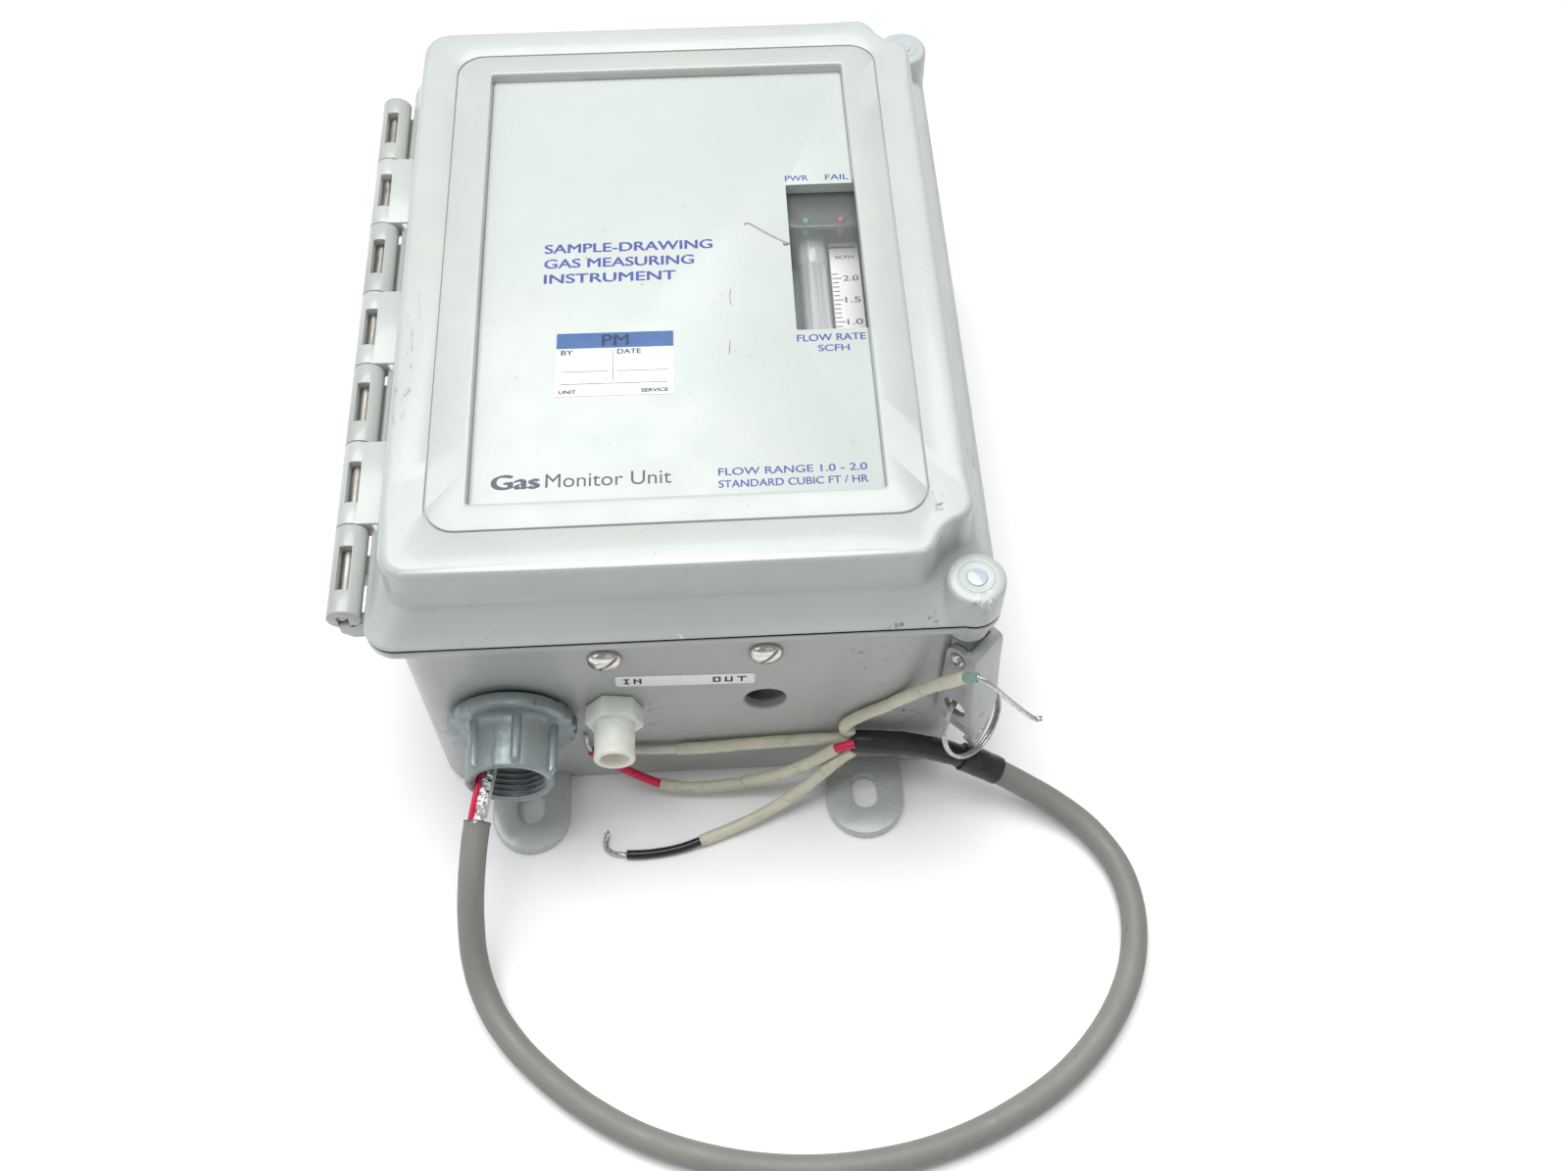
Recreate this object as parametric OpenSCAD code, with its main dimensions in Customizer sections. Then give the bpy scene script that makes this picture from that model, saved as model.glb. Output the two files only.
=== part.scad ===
// Sample-drawing gas monitor in a hinged wall-mount enclosure, lying on its back.
// Millimetres. +X is the latch side, +Y the far end wall, +Z points out of the lid.
// The origin is the centre of the flat back, so z = 0 is the wall or table face.

/* [Enclosure] */
// Width of the rim, hinge side to latch side
rim_w = 171.4; // [168:0.2:176]
// Length of the rim
rim_l = 224.4; // [220:0.2:230]
// Height of the base box up to the seam
base_h = 95; // [90:1:100]
// Height of the whole box up to the lid top
total_h = 121; // [120:0.5:122]
// Wall thickness of the moulding
wall_t = 3.2; // [2.6:0.2:3.6]

/* [Lid] */
// Width of the raised part of the lid at its foot
raised_w = 157; // [154:1:160]
// Length of the raised part of the lid at its foot
raised_l = 209.2; // [206:0.2:212]
// Radius of the rounded edge around the lid top
edge_r = 6; // [4:0.5:7]
// Depth of the faceplate recess
recess_depth = 3.7; // [3:0.1:4]

/* [Hinge] */
// Radius of the hinge barrel
barrel_r = 4.3; // [4:0.1:4.4]
// Radius of the hinge pin
pin_r = 1.5; // [1.2:0.1:1.8]
// Length of one hinge knuckle
knuckle_l = 28.5; // [27:0.1:29]

/* [Fittings] */
// Radius of the conduit hub mouth, half-inch pipe size
hub_bore_r = 10.7; // [10:0.1:11]
// Radius of the outlet hole
outlet_r = 6.2; // [5:0.1:7]
// Spacing of the mounting feet across the box
foot_dx = 105; // [100:1:110]
// Spacing of the foot slots along the box
foot_dy = 235.4; // [234:0.2:236]

/* [Cable] */
// Diameter of the cable jacket
cable_d = 8; // [7.6:0.1:8.2]
// Diameter of a conductor over its insulation
wire_d = 2.8; // [2.4:0.1:3]

/* [Hidden] */
fine = 48;
eps = 0.01;
seam = 0.4;                              // gap between base and lid
lid_z = base_h + seam;                   // underside of the lid rim
band_z = lid_z + 1.8;                    // foot of the sloped rim band
step_z = lid_z + 10.4;                   // foot of the raised wall
floor_t = 5;                             // thickness of the back
floor_z = total_h - recess_depth;        // faceplate floor
ceil_z = floor_z - 3.2;                  // inside of the lid
base_w = rim_w - 10.4;
base_l = rim_l - 11.4;
wall_y = -base_l / 2;                    // outer face of the fittings wall
boss_x = 78.2;
boss_y = -104.4;                         // centre of the front corner boss
boss_r = 7.3;
cap_r = 8.2;                             // lid boss over the corner boss
scoop_r = 11.5;
hinge_x = -91.6;
hinge_y = -1.8;                          // middle of the row of knuckles
hinge_z = base_h + 0.8;
knuckle_n = 7;
hub_x = -53;
hub_z = 45;
hub_mouth_y = -128.6;
inlet_x = -22.7;
outlet_x = 21.8;
port_z = 48;
screw_z = 77;
screw_xs = [-23, 22];
win_x = [35, 56];                        // faceplate window, low and high x
win_y = [-24.8, 32.8];
pivot_u = 2.7;                           // latch pivot, outward from the corner boss
pivot_z = 75.3;
eye_u = 4.8;                             // ring hole in the latch
eye_z = 48.4;
ring_u = 3.7;                            // where the ring bears in the eye
ring_z = 46.6;
ring_tilt = 24;                          // the ring leans out over the tip of the lever
tube_x = 43;
tube_z = 96;                             // axis of the flow tube
feet = [for (sx = [-1, 1], sy = [-1, 1]) [sx, sy]];

// Route of the cable jacket, from the hub mouth round to the long sleeve
cable_route = [[-63, -137, 38.6], [-64, -142, 36], [-64.8, -147, 33], [-65.6, -152, 29], [-66.4, -157, 23.6],
    [-66.8, -162, 18], [-66.6, -168, 12.6], [-64.6, -176, 8], [-59.6, -186, 5.2], [-50, -197.6, 4.2],
    [-34, -211, 4.1], [-15, -221.5, 4.1], [8, -228.5, 4.1], [32, -231, 4.1], [56, -229, 4.1],
    [76, -223.5, 4.1], [94, -215, 4.1], [107, -206, 4.1], [118, -194.5, 4.1], [125.5, -182.5, 4.1],
    [129.5, -170.5, 4.1], [130.5, -158, 4.1], [128, -146, 4.2], [121, -134.5, 4.8], [111, -126, 6.8],
    [101, -120.4, 9.8], [92, -116.8, 14]];
core_route = [[-58.6, -118, 44.6], [-59.6, -123, 44], [-60.6, -128, 43], [-61.8, -132.6, 41.2], [-63, -137, 38.6]];
short_route = [[94, -117.5, 13], [90, -116.2, 15], [86, -115.2, 17.2], [82, -114.4, 19]];
long_route = [[84, -114.8, 18.2], [80, -114, 19.8], [73, -112.8, 22.2], [66, -112, 24], [57, -111.4, 25.6],
    [47.5, -111.1, 26.6]];
green_marker_route = [[48.5, -109.2, 28.8], [46, -109, 30.4], [46.4, -108.8, 34], [51, -108.6, 39],
    [58, -108.6, 44.6], [64, -109.4, 52], [70, -113, 64.5], [76.6, -118.4, 78.5]];
green_wire_route = [[76.6, -118.4, 78.5], [79, -120.6, 82.5]];
green_strand_route = [[79, -120.6, 82.5], [83, -122, 80.5], [89, -123.4, 73], [96, -124.8, 65],
    [99, -125.2, 64.6]];
white_marker_route = [[48.5, -109.2, 24.6], [34, -108.8, 24.2], [21, -108.7, 23.4], [8, -108.7, 22.4],
    [-6, -108.7, 21.6]];
white_wire_route = [[-6, -108.7, 21.6], [-13, -108.6, 21.8], [-20, -108.5, 22.6]];
red_wire_route = [[48.5, -113.1, 28.8], [45.5, -113.4, 28], [43, -113.5, 26.8]];
red_marker_route = [[43, -113.5, 26.8], [36, -114.2, 20], [26, -114.8, 13], [15, -114.8, 8.4],
    [5, -114.6, 5.8], [-4, -114, 4.6]];
red_tail_route = [[-4, -114, 4.6], [-12, -112.8, 6], [-20, -111.2, 11], [-27, -109.6, 17], [-32, -108.4, 22.5]];
red_strand_route = [[-32, -108.4, 22.5], [-33, -108, 27], [-32.6, -107.8, 32.5]];
black_marker_route = [[48.5, -113.2, 24.6], [42.5, -115.4, 20.6], [35, -118.6, 13.6], [26, -122, 7.4],
    [13, -127, 3.6], [0, -131.4, 2.4]];
black_wire_route = [[0, -131.4, 2.4], [-5.5, -133, 1.8], [-11, -134, 1.6], [-17, -134.5, 1.6], [-22.8, -134.4, 1.6]];
black_strand_route = [[-22.8, -134.4, 1.6], [-27, -133.6, 1.4], [-29.4, -131.2, 1.6], [-28.6, -126.6, 3]];

// Inside the box: the four conductors to the terminal block, and the two sample hoses
lead_offsets = [[-1.5, 1.5], [-1.5, -1.5], [1.5, -1.5], [1.5, 1.5]];
function lead_route(i) = let (o = lead_offsets[i], tx = -49 + i * 7.5) [
    [-58.6 + o[0], -118, 44.6 + o[1]], [-56.6 + o[0], -112, 44.8 + o[1]], [-55 + o[0], -103, 45 + o[1]],
    [-54.5 + o[0], -94, 44.6 + o[1]], [-56 + i * 3.6, -84, 43 + o[1] * 0.8], [(-56 + i * 3.6 + tx) / 2, -72, 42],
    [tx, -62, 41.2], [tx, -51, 41.2]];
hose_d = 6.4;
hose_in_route = [[-22.7, -92.6, 48], [-22.7, -84, 48], [-20, -76, 48.6], [-12, -71, 50], [0, -70, 53],
    [14, -71.5, 57], [26, -75, 62], [35, -78.5, 65.5], [41, -80.5, 64.5], [43, -81, 58], [43, -81, 51.6]];
hose_out_route = [[56, -81, 51.6], [56, -81, 58], [58, -80, 66], [61.5, -76.5, 75], [64.6, -71, 82],
    [65.4, -64, 86], [64.6, -58, 87], [61.6, -55.6, 86], [58, -55.4, 85]];

// Points of an arc about (cx, cy) from angle a0 to a1 in n steps
function arc(cx, cy, r, a0, a1, n) =
    [for (i = [0:n]) let (a = a0 + (a1 - a0) * i / n) [cx + r * cos(a), cy + r * sin(a)]];

// Outline with four convex corners, counterclockwise from the +X +Y corner
function rounded(hx, hy, r, n = 10) = concat(
    arc(hx - r, hy - r, r, 0, 90, n), arc(-hx + r, hy - r, r, 90, 180, n),
    arc(-hx + r, -hy + r, r, 180, 270, n), arc(hx - r, -hy + r, r, 270, 360, n));

// Rim outline: small arcs on the hinge side, arcs about the boss centres on the latch side
function rim_outline(inset) = let (hx = rim_w / 2 - inset, hy = rim_l / 2 - inset, r = 9 - inset,
    q = boss_r + 0.2 - inset) concat(
    arc(hx - q, hy - q, q, 0, 90, 18), arc(-hx + r, hy - r, r, 90, 180, 10),
    arc(-hx + r, -hy + r, r, 180, 270, 10), arc(hx - q, -hy + q, q, 270, 360, 18));

// Half corner of the raised outline: convex lead-in, then the scoop around the boss
function scoop_corner(hx, hy, q, s) = let (by = -boss_y,
    c1y = by - sqrt(pow(s + q, 2) - pow(boss_x - hx + q, 2)),
    c2x = boss_x - sqrt(pow(s + q, 2) - pow(by - hy + q, 2)),
    a1 = atan2(by - c1y, boss_x - hx + q), a2 = atan2(by - hy + q, boss_x - c2x)) concat(
    arc(hx - q, c1y, q, 0, a1, 4), arc(boss_x, by, s, a1 - 180 - eps, a2 - 180 + eps, 8),
    arc(c2x, hy - q, q, a2, 90, 4));

// Reverses and mirrors a +X +Y corner to make the +X -Y corner
function flip_y(p) = [for (i = [len(p) - 1:-1:0]) [p[i][0], -p[i][1]]];

// Raised outline of the lid, all of it inset by the same amount
function raised_outline(inset) = let (hx = raised_w / 2 - inset, hy = raised_l / 2 - inset,
    r = 9 - inset, q = 7 - inset, c = scoop_corner(hx, hy, q, scoop_r + inset)) concat(
    c, arc(-hx + r, hy - r, r, 90, 180, 10), arc(-hx + r, -hy + r, r, 180, 270, 10), flip_y(c));

// Solid through a stack of outlines with the same number of points each
module loft(rings, heights) {
    n = len(rings[0]);
    m = len(rings);
    points = [for (k = [0:m - 1]) for (p = rings[k]) [p[0], p[1], heights[k]]];
    sides = [for (k = [0:m - 2]) for (i = [0:n - 1])
        let (j = (i + 1) % n) each
            [[k * n + i, (k + 1) * n + i, (k + 1) * n + j], [k * n + i, (k + 1) * n + j, k * n + j]]];
    polyhedron(points, concat([[for (i = [0:n - 1]) i]], [[for (i = [n - 1:-1:0]) (m - 1) * n + i]], sides));
}

module prism(outline, z0, z1) {
    translate([0, 0, z0]) linear_extrude(z1 - z0) polygon(outline);
}

// Cylinder along +Y from y0 to y1
module rod_y(x, z, r, y0, y1) {
    translate([x, y1, z]) rotate([90, 0, 0]) cylinder(r = r, h = y1 - y0, $fn = fine);
}

function cross3(a, b) = [a[1] * b[2] - a[2] * b[1], a[2] * b[0] - a[0] * b[2], a[0] * b[1] - a[1] * b[0]];
function unit(v) = v / norm(v);

// Catmull-Rom curve through a route, s steps a span
function curve_point(a, b, c, d, t) = 0.5 * (2 * b + (c - a) * t + (2 * a - 5 * b + 4 * c - d) * t * t
    + (3 * b - a - 3 * c + d) * t * t * t);
function smooth_route(p, s) = let (n = len(p)) concat(
    [for (i = [0:n - 2]) for (k = [0:s - 1])
        curve_point(p[max(i - 1, 0)], p[i], p[i + 1], p[min(i + 2, n - 1)], k / s)], [p[n - 1]]);

// Round tube swept along a route; up is any direction the route never takes
module cord(route, d, sides = 8, steps = 2, up = [0, 0, 1]) {
    p = smooth_route(route, steps);
    n = len(p);
    dirs = [for (i = [0:n - 1]) unit(p[min(i + 1, n - 1)] - p[max(i - 1, 0)])];
    points = [for (i = [0:n - 1]) let (a = unit(cross3(dirs[i], up)), b = cross3(dirs[i], a))
        for (k = [0:sides - 1]) p[i] + d / 2 * (cos(360 * k / sides) * a + sin(360 * k / sides) * b)];
    faces = [for (i = [0:n - 2]) for (k = [0:sides - 1]) let (j = (k + 1) % sides) each
        [[i * sides + k, (i + 1) * sides + j, (i + 1) * sides + k],
        [i * sides + k, i * sides + j, (i + 1) * sides + j]]];
    ends = [[for (k = [sides - 1:-1:0]) k], [for (k = [0:sides - 1]) (n - 1) * sides + k]];
    polyhedron(points, concat(ends, faces));
}

// Frame of the front corner: +X points out of the corner, +Y across it
module at_corner(rear = false) {
    mirror([0, rear ? 1 : 0, 0]) translate([boss_x, boss_y, 0]) rotate([0, 0, -45]) children();
}

// Knuckle number k, from the far end
module barrel(k, r) {
    y1 = hinge_y + knuckle_l * (knuckle_n / 2 - k);
    rod_y(hinge_x, hinge_z, r, y1 - knuckle_l + 0.2, y1 - 0.2);
}

// Slot over the pin on top of each knuckle and the open channels below its ends
module barrel_cuts(k, bore) {
    yc = hinge_y + knuckle_l * (knuckle_n / 2 - k - 0.5);
    rod_y(hinge_x, hinge_z, bore, yc - knuckle_l, yc + knuckle_l);
    translate([hinge_x - 1.8, yc - 7, hinge_z]) cube([3.6, 14, 10]);
    for (s = [-1, 1]) translate([hinge_x - 1.4, yc + s * knuckle_l / 2 - 5, hinge_z - 8]) cube([2.8, 10, 8]);
}

// Arm under a base knuckle, from y for a length l
module hinge_arm(y, l) {
    translate([hinge_x - 2, y, base_h - 9]) cube([14, l, 7.2]);
}

module base_box() color([0.62, 0.64, 0.63]) difference() {
    union() {
        prism(rounded(base_w / 2, base_l / 2, 10), 0, base_h - 2.5);
        prism(rim_outline(0.5), base_h - 3, base_h);
        for (rear = [false, true]) at_corner(rear) {
            translate([0, 0, 84]) cylinder(r = boss_r - 1.1, h = 9, $fn = fine);
            translate([-8, -3.6, pivot_z - 4]) cube([8 + pivot_u, 7.2, 7.4]);
            translate([pivot_u, 3.6, pivot_z]) rotate([90, 0, 0]) cylinder(r = 3.2, h = 7.2, $fn = fine);
        }
        for (k = [0, 2, 4, 6]) barrel(k, barrel_r);
        for (k = [0, 2, 4]) hinge_arm(hinge_y + knuckle_l * (knuckle_n / 2 - k - 1) + 0.2, knuckle_l - 6);
        hinge_arm(hinge_y - knuckle_l * 3.5 + 0.2, 4);
        hinge_arm(hinge_y - knuckle_l * 2.5 - 12, 6);
    }
    difference() {
        prism(rounded(base_w / 2 - wall_t, base_l / 2 - wall_t, 7), floor_t, base_h + 1);
        for (f = feet) translate([f[0] * foot_dx / 2, f[1] * 92, 0]) cylinder(r = 5.5, h = 14, $fn = fine);
    }
    for (k = [0, 2, 4, 6]) barrel_cuts(k, pin_r);
    for (rear = [false, true]) at_corner(rear)
        translate([pivot_u, 6, pivot_z]) rotate([90, 0, 0]) cylinder(r = pin_r, h = 12, $fn = fine);
    rod_y(hub_x, hub_z, 10.95, wall_y - 1, wall_y + 6);
    rod_y(inlet_x, port_z, 5.05, wall_y - 1, wall_y + 6);
    rod_y(outlet_x, port_z, outlet_r, wall_y - 1, wall_y + 6);
    for (x = screw_xs) rod_y(x, screw_z, 2.5, wall_y - 1, wall_y + 6);
    for (f = feet) {
        foot_pocket(f);
        translate([f[0] * foot_dx / 2, f[1] * 92, -1]) cylinder(r = 2.4, h = 20, $fn = fine);
    }
}

// Shallow pocket in the back that the foot sits in
module foot_pocket(f) {
    translate([f[0] * foot_dx / 2 - 12.2, f[1] > 0 ? 80 : -120, -1]) cube([24.4, 40, 3.6]);
}

module lid() color([0.82, 0.84, 0.82]) difference() {
    union() {
        arc_steps = [0:15:90];
        loft(concat([rim_outline(0)], [rim_outline(0)], [rim_outline(0.9)], [raised_outline(-0.7)],
            [raised_outline(0)], [for (a = arc_steps) raised_outline(0.5 + (edge_r - 0.5) * (1 - cos(a)))]),
            concat([lid_z, band_z - 0.6, band_z, step_z - 0.3, step_z + 0.7],
            [for (a = arc_steps) total_h - edge_r + edge_r * sin(a)]));
        for (rear = [false, true]) at_corner(rear) {
            translate([0, 0, lid_z]) cylinder(r = cap_r, h = 12.2, $fn = fine);
            translate([0, 0, lid_z + 12.2 - eps])
                cylinder(r1 = cap_r, r2 = cap_r - 0.8, h = 0.8, $fn = fine);
        }
        for (k = [1, 3, 5]) {
            barrel(k, barrel_r);
            translate([hinge_x, hinge_y + knuckle_l * (knuckle_n / 2 - k - 1) + 0.2, hinge_z])
                cube([10, knuckle_l - 0.4, barrel_r - 0.3]);
        }
    }
    prism(raised_outline(wall_t), lid_z - 1, ceil_z);
    prism(rounded(55.5, 82.6, 0.8, 3), floor_z, total_h + 1);
    difference() {
        prism(rounded(66.5, 91.6, 8.4), total_h - 0.6, total_h + 1);
        prism(rounded(65.6, 90.7, 7.5), total_h - 1, total_h + 2);
    }
    difference() {
        prism(rounded(rim_w / 2 - 4.4, rim_l / 2 - 4.9, 6), lid_z - 1, lid_z + 2.4);
        prism(rounded(rim_w / 2 - 7.4, rim_l / 2 - 7.9, 4), lid_z - 2, lid_z + 3);
    }
    translate([win_x[0], win_y[0], ceil_z - 1]) cube([win_x[1] - win_x[0], win_y[1] - win_y[0], 10]);
    for (k = [1, 3, 5]) barrel_cuts(k, pin_r + 0.06);
    for (rear = [false, true]) at_corner(rear)
        translate([0, 0, lid_z + 10]) cylinder(r = 2.8, h = 6, $fn = fine);
}

module lid_gasket() color([0.2, 0.2, 0.2]) difference() {
    prism(rounded(rim_w / 2 - 4.6, rim_l / 2 - 5.1, 5.8), lid_z - 0.1, lid_z + 2.3);
    prism(rounded(rim_w / 2 - 7.2, rim_l / 2 - 7.7, 4.2), lid_z - 1, lid_z + 3);
}

module faceplate() color([0.86, 0.9, 0.87]) difference() {
    translate([-55.3, -82.4, floor_z]) cube([110.6, 164.8, 0.4]);
    translate([win_x[0], win_y[0], floor_z - 1]) cube([win_x[1] - win_x[0], win_y[1] - win_y[0], 3]);
}

module window_pane() color([0.8, 0.88, 0.86, 0.35])
    translate([win_x[0] - 3, win_y[0] - 3, ceil_z - 2])
    cube([win_x[1] - win_x[0] + 6, win_y[1] - win_y[0] + 6, 2]);

module service_sticker() color([0.95, 0.95, 0.95])
    translate([-33.4, -45.8, floor_z + 0.4]) rotate([0, 0, -0.6]) cube([33, 22.8, 0.15]);

// Clear plug sealed into a lid boss
module boss_plug(rear) color([0.75, 0.82, 0.92]) at_corner(rear)
    translate([0, 0, lid_z + 10]) cylinder(r = 2.8, h = 3.4, $fn = fine);

module boss_plug_front() boss_plug(false);
module boss_plug_rear() boss_plug(true);

module hinge_pin() color([0.72, 0.7, 0.64])
    rod_y(hinge_x, hinge_z, pin_r, hinge_y - knuckle_l * knuckle_n / 2 + 0.6,
    hinge_y + knuckle_l * knuckle_n / 2 - 0.6);

// Side view of the latch in its (outward, z) plane
function latch_side() = [[-1.3, 76], [-1.3, 41], [6, 29], [11.6, 22.6], [11.9, 34], [11.2, 48], [9.6, 64],
    [8.6, 78.6], [7.6, 80], [4.6, 80]];
function latch_pocket() = [[-3, 90], [-3, 20], [6, 20], [9.4, 33], [9.2, 48], [7.7, 64], [6.9, 78.2]];
function latch_front_view() = [[-6.2, 90], [-6.2, 41], [-1.4, 23.4], [1.4, 23.4], [6.2, 41], [6.2, 90]];

module latch_lever() difference() {
    intersection() {
        union() {
            translate([0, 6.2, 0]) rotate([90, 0, 0]) linear_extrude(12.4) polygon(latch_side());
            translate([pivot_u, 6.2, pivot_z]) rotate([90, 0, 0]) cylinder(r = 4, h = 12.4, $fn = fine);
        }
        translate([-20, 0, 0]) rotate([90, 0, 90]) linear_extrude(50) polygon(latch_front_view());
    }
    translate([0, 4.4, 0]) rotate([90, 0, 0]) linear_extrude(8.8) polygon(latch_pocket());
    translate([pivot_u, 10, pivot_z]) rotate([90, 0, 0]) cylinder(r = pin_r + 0.06, h = 20, $fn = fine);
    translate([eye_u, 10, eye_z]) rotate([90, 0, 0]) cylinder(r = 3.9, h = 20, $fn = fine);
}

module latch_front() color([0.66, 0.68, 0.67]) at_corner(false) latch_lever();
module latch_rear() color([0.66, 0.68, 0.67]) at_corner(true) latch_lever();

// Latch pivot pin with a domed head at each end, held in the base lug
module latch_pin(rear) color([0.7, 0.72, 0.71]) at_corner(rear) translate([pivot_u, 0, pivot_z]) {
    translate([0, 7.4, 0]) rotate([90, 0, 0]) cylinder(r = pin_r, h = 14.8, $fn = fine);
    for (s = [-1, 1]) translate([0, s * 6.6, 0])
        rotate([-90 * s, 0, 0]) cylinder(r1 = 2.3, r2 = 1.6, h = 1.2, $fn = fine);
}
module latch_pin_front() latch_pin(false);
module latch_pin_rear() latch_pin(true);

module split_ring() color([0.7, 0.7, 0.68]) at_corner(false)
    translate([ring_u, 0, ring_z]) rotate([0, 90 - ring_tilt, 0]) translate([11.2, 0, 0])
    for (s = [-1, 1]) translate([0, 0, s * 0.52])
        rotate_extrude($fn = 64) translate([12.4, 0]) circle(r = 0.55, $fn = 16);

module conduit_hub() color([0.5, 0.54, 0.55]) difference() {
    union() {
        rod_y(hub_x, hub_z, 18.6, wall_y - 5.6, wall_y - 1.2);
        rod_y(hub_x, hub_z, 13, hub_mouth_y, wall_y - 5);
        rod_y(hub_x, hub_z, 10.85, wall_y - 2, wall_y + 12);
        for (i = [0:5]) translate([hub_x, 0, hub_z]) rotate([0, i * 60 - 16, 0])
            translate([12, hub_mouth_y + 0.6, -1.3]) cube([2.2, wall_y - 5.6 - hub_mouth_y, 2.6]);
        for (i = [0:11]) translate([hub_x, 0, hub_z]) rotate([0, i * 30, 0])
            translate([17.4, wall_y - 4.8, -2]) cube([1.9, 2.6, 4]);
    }
    rod_y(hub_x, hub_z, hub_bore_r, hub_mouth_y - 1, wall_y - 3.4);
    rod_y(hub_x, hub_z, 8.2, -115, wall_y + 13);
}

module hub_seal_ring() color([0.08, 0.08, 0.08]) difference() {
    rod_y(hub_x, hub_z, 16.8, wall_y - 1.2, wall_y);
    rod_y(hub_x, hub_z, 13.6, wall_y - 2, wall_y + 1);
}

module hub_locknut() color([0.6, 0.62, 0.62]) difference() {
    translate([hub_x, wall_y + wall_t + 4, hub_z]) rotate([90, 0, 0]) cylinder(r = 16, h = 4, $fn = 8);
    rod_y(hub_x, hub_z, 10.95, wall_y, wall_y + 20);
}

module inlet_fitting() color([0.93, 0.93, 0.9]) difference() {
    union() {
        translate([inlet_x, wall_y, port_z]) rotate([90, 12, 0]) cylinder(r = 8.8, h = 6.6, $fn = 6);
        rod_y(inlet_x, port_z, 5.6, -124, wall_y);
        rod_y(inlet_x, port_z, 6.2, -124, -121.6);
        rod_y(inlet_x, port_z, 4.95, wall_y - 1, wall_y + 14);
    }
    rod_y(inlet_x, port_z, 4.2, -125, -116);
    rod_y(inlet_x, port_z, 2.6, -117, wall_y + 15);
}

module inlet_locknut() color([0.93, 0.93, 0.9]) difference() {
    translate([inlet_x, wall_y + wall_t + 4, port_z]) rotate([90, 0, 0]) cylinder(r = 9, h = 4, $fn = 6);
    rod_y(inlet_x, port_z, 5.05, wall_y, wall_y + 20);
}

// Round-head slotted machine screw through the wall
module wall_screw(x, turn) difference() {
    union() {
        rod_y(x, screw_z, 2.35, wall_y - 0.1, wall_y + 11);
        intersection() {
            translate([x, wall_y + 1.9, screw_z]) sphere(r = 4.9, $fn = fine);
            rod_y(x, screw_z, 4.9, wall_y - 5, wall_y);
        }
    }
    translate([x, wall_y - 3, screw_z]) rotate([0, -turn, 0]) translate([-6, -1.4, -0.5]) cube([12, 2.8, 1]);
}
module wall_screws() color([0.75, 0.74, 0.72]) {
    wall_screw(screw_xs[0], 40);
    wall_screw(screw_xs[1], 46);
}

module wall_nuts() color([0.75, 0.74, 0.72]) for (x = screw_xs) difference() {
    translate([x, wall_y + wall_t + 3.2, screw_z]) rotate([90, 0, 0]) cylinder(r = 5.4, h = 3.2, $fn = 6);
    rod_y(x, screw_z, 2.35, wall_y, wall_y + 20);
}

module port_tape() color([0.95, 0.95, 0.94])
    translate([-1.2, wall_y - 0.15, 62.6]) rotate([0, 2.1, 0]) translate([-20, 0, -3]) cube([40, 0.15, 6]);

// Swivel foot: round-ended plate with a slot outside the box
module foot(f) color([0.6, 0.62, 0.61]) translate([f[0] * foot_dx / 2, 0, 0]) scale([1, f[1], 1]) difference() {
    union() {
        translate([-12, 82, 0]) cube([24, 38.3, 2.6]);
        translate([-12, 107, 0]) cube([24, 13.3, 4]);
        translate([0, 120.3, 0]) cylinder(r = 12, h = 4, $fn = fine);
    }
    translate([-4.15, foot_dy / 2 - 1.6, -1]) cube([8.3, 3.2, 8]);
    for (s = [-1, 1]) translate([0, foot_dy / 2 + s * 1.6, -1]) cylinder(r = 4.15, h = 8, $fn = fine);
    translate([0, 92, -1]) cylinder(r = 2.6, h = 8, $fn = fine);
    translate([0, 92, -eps]) cylinder(r1 = 4.4, r2 = 2.6, h = 1.9, $fn = fine);
}
module foot_1() foot(feet[0]);
module foot_2() foot(feet[1]);
module foot_3() foot(feet[2]);
module foot_4() foot(feet[3]);

module foot_screws() color([0.7, 0.7, 0.7]) for (f = feet) translate([f[0] * foot_dx / 2, f[1] * 92, 0]) {
    cylinder(r = 2.35, h = 12, $fn = fine);
    translate([0, 0, 0.15]) cylinder(r1 = 4.1, r2 = 2.35, h = 1.75, $fn = fine);
}

post_xy = [for (sx = [-1, 1], sy = [-1, 1]) [sx * 66, sy * 84]];
chassis_z = 15;

module chassis_plate() color([0.78, 0.8, 0.82]) {
    difference() {
        translate([-74, -92, chassis_z]) cube([148, 184, 1.6]);
        for (p = post_xy) translate([p[0], p[1], 0]) cylinder(r = 2.1, h = 40, $fn = fine);
    }
    for (p = post_xy) difference() {
        translate([p[0], p[1], floor_t]) cylinder(r = 4.5, h = chassis_z - floor_t, $fn = fine);
        translate([p[0], p[1], floor_t - 1]) cylinder(r = 2.1, h = 40, $fn = fine);
    }
}

module chassis_screws() color([0.75, 0.74, 0.72]) for (p = post_xy) translate([p[0], p[1], 0]) difference() {
    union() {
        translate([0, 0, floor_t + 1]) cylinder(r = 2.05, h = chassis_z + 0.6 - floor_t, $fn = fine);
        translate([0, 0, chassis_z + 1.6]) cylinder(r1 = 4, r2 = 3, h = 2.2, $fn = fine);
    }
    translate([-6, -0.5, chassis_z + 2.9]) cube([12, 1, 3]);
}

board_xy = [for (x = [-58, 22], y = [-58, 62]) [x, y]];
board_z = 34;

module board_standoffs() color([0.85, 0.72, 0.35]) for (p = board_xy)
    translate([p[0], p[1], chassis_z + 1.6]) {
        cylinder(r = 3.1, h = board_z - chassis_z - 1.6, $fn = 6);
        cylinder(r = 1.5, h = board_z - chassis_z + 2.6, $fn = fine);
    }

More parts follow.
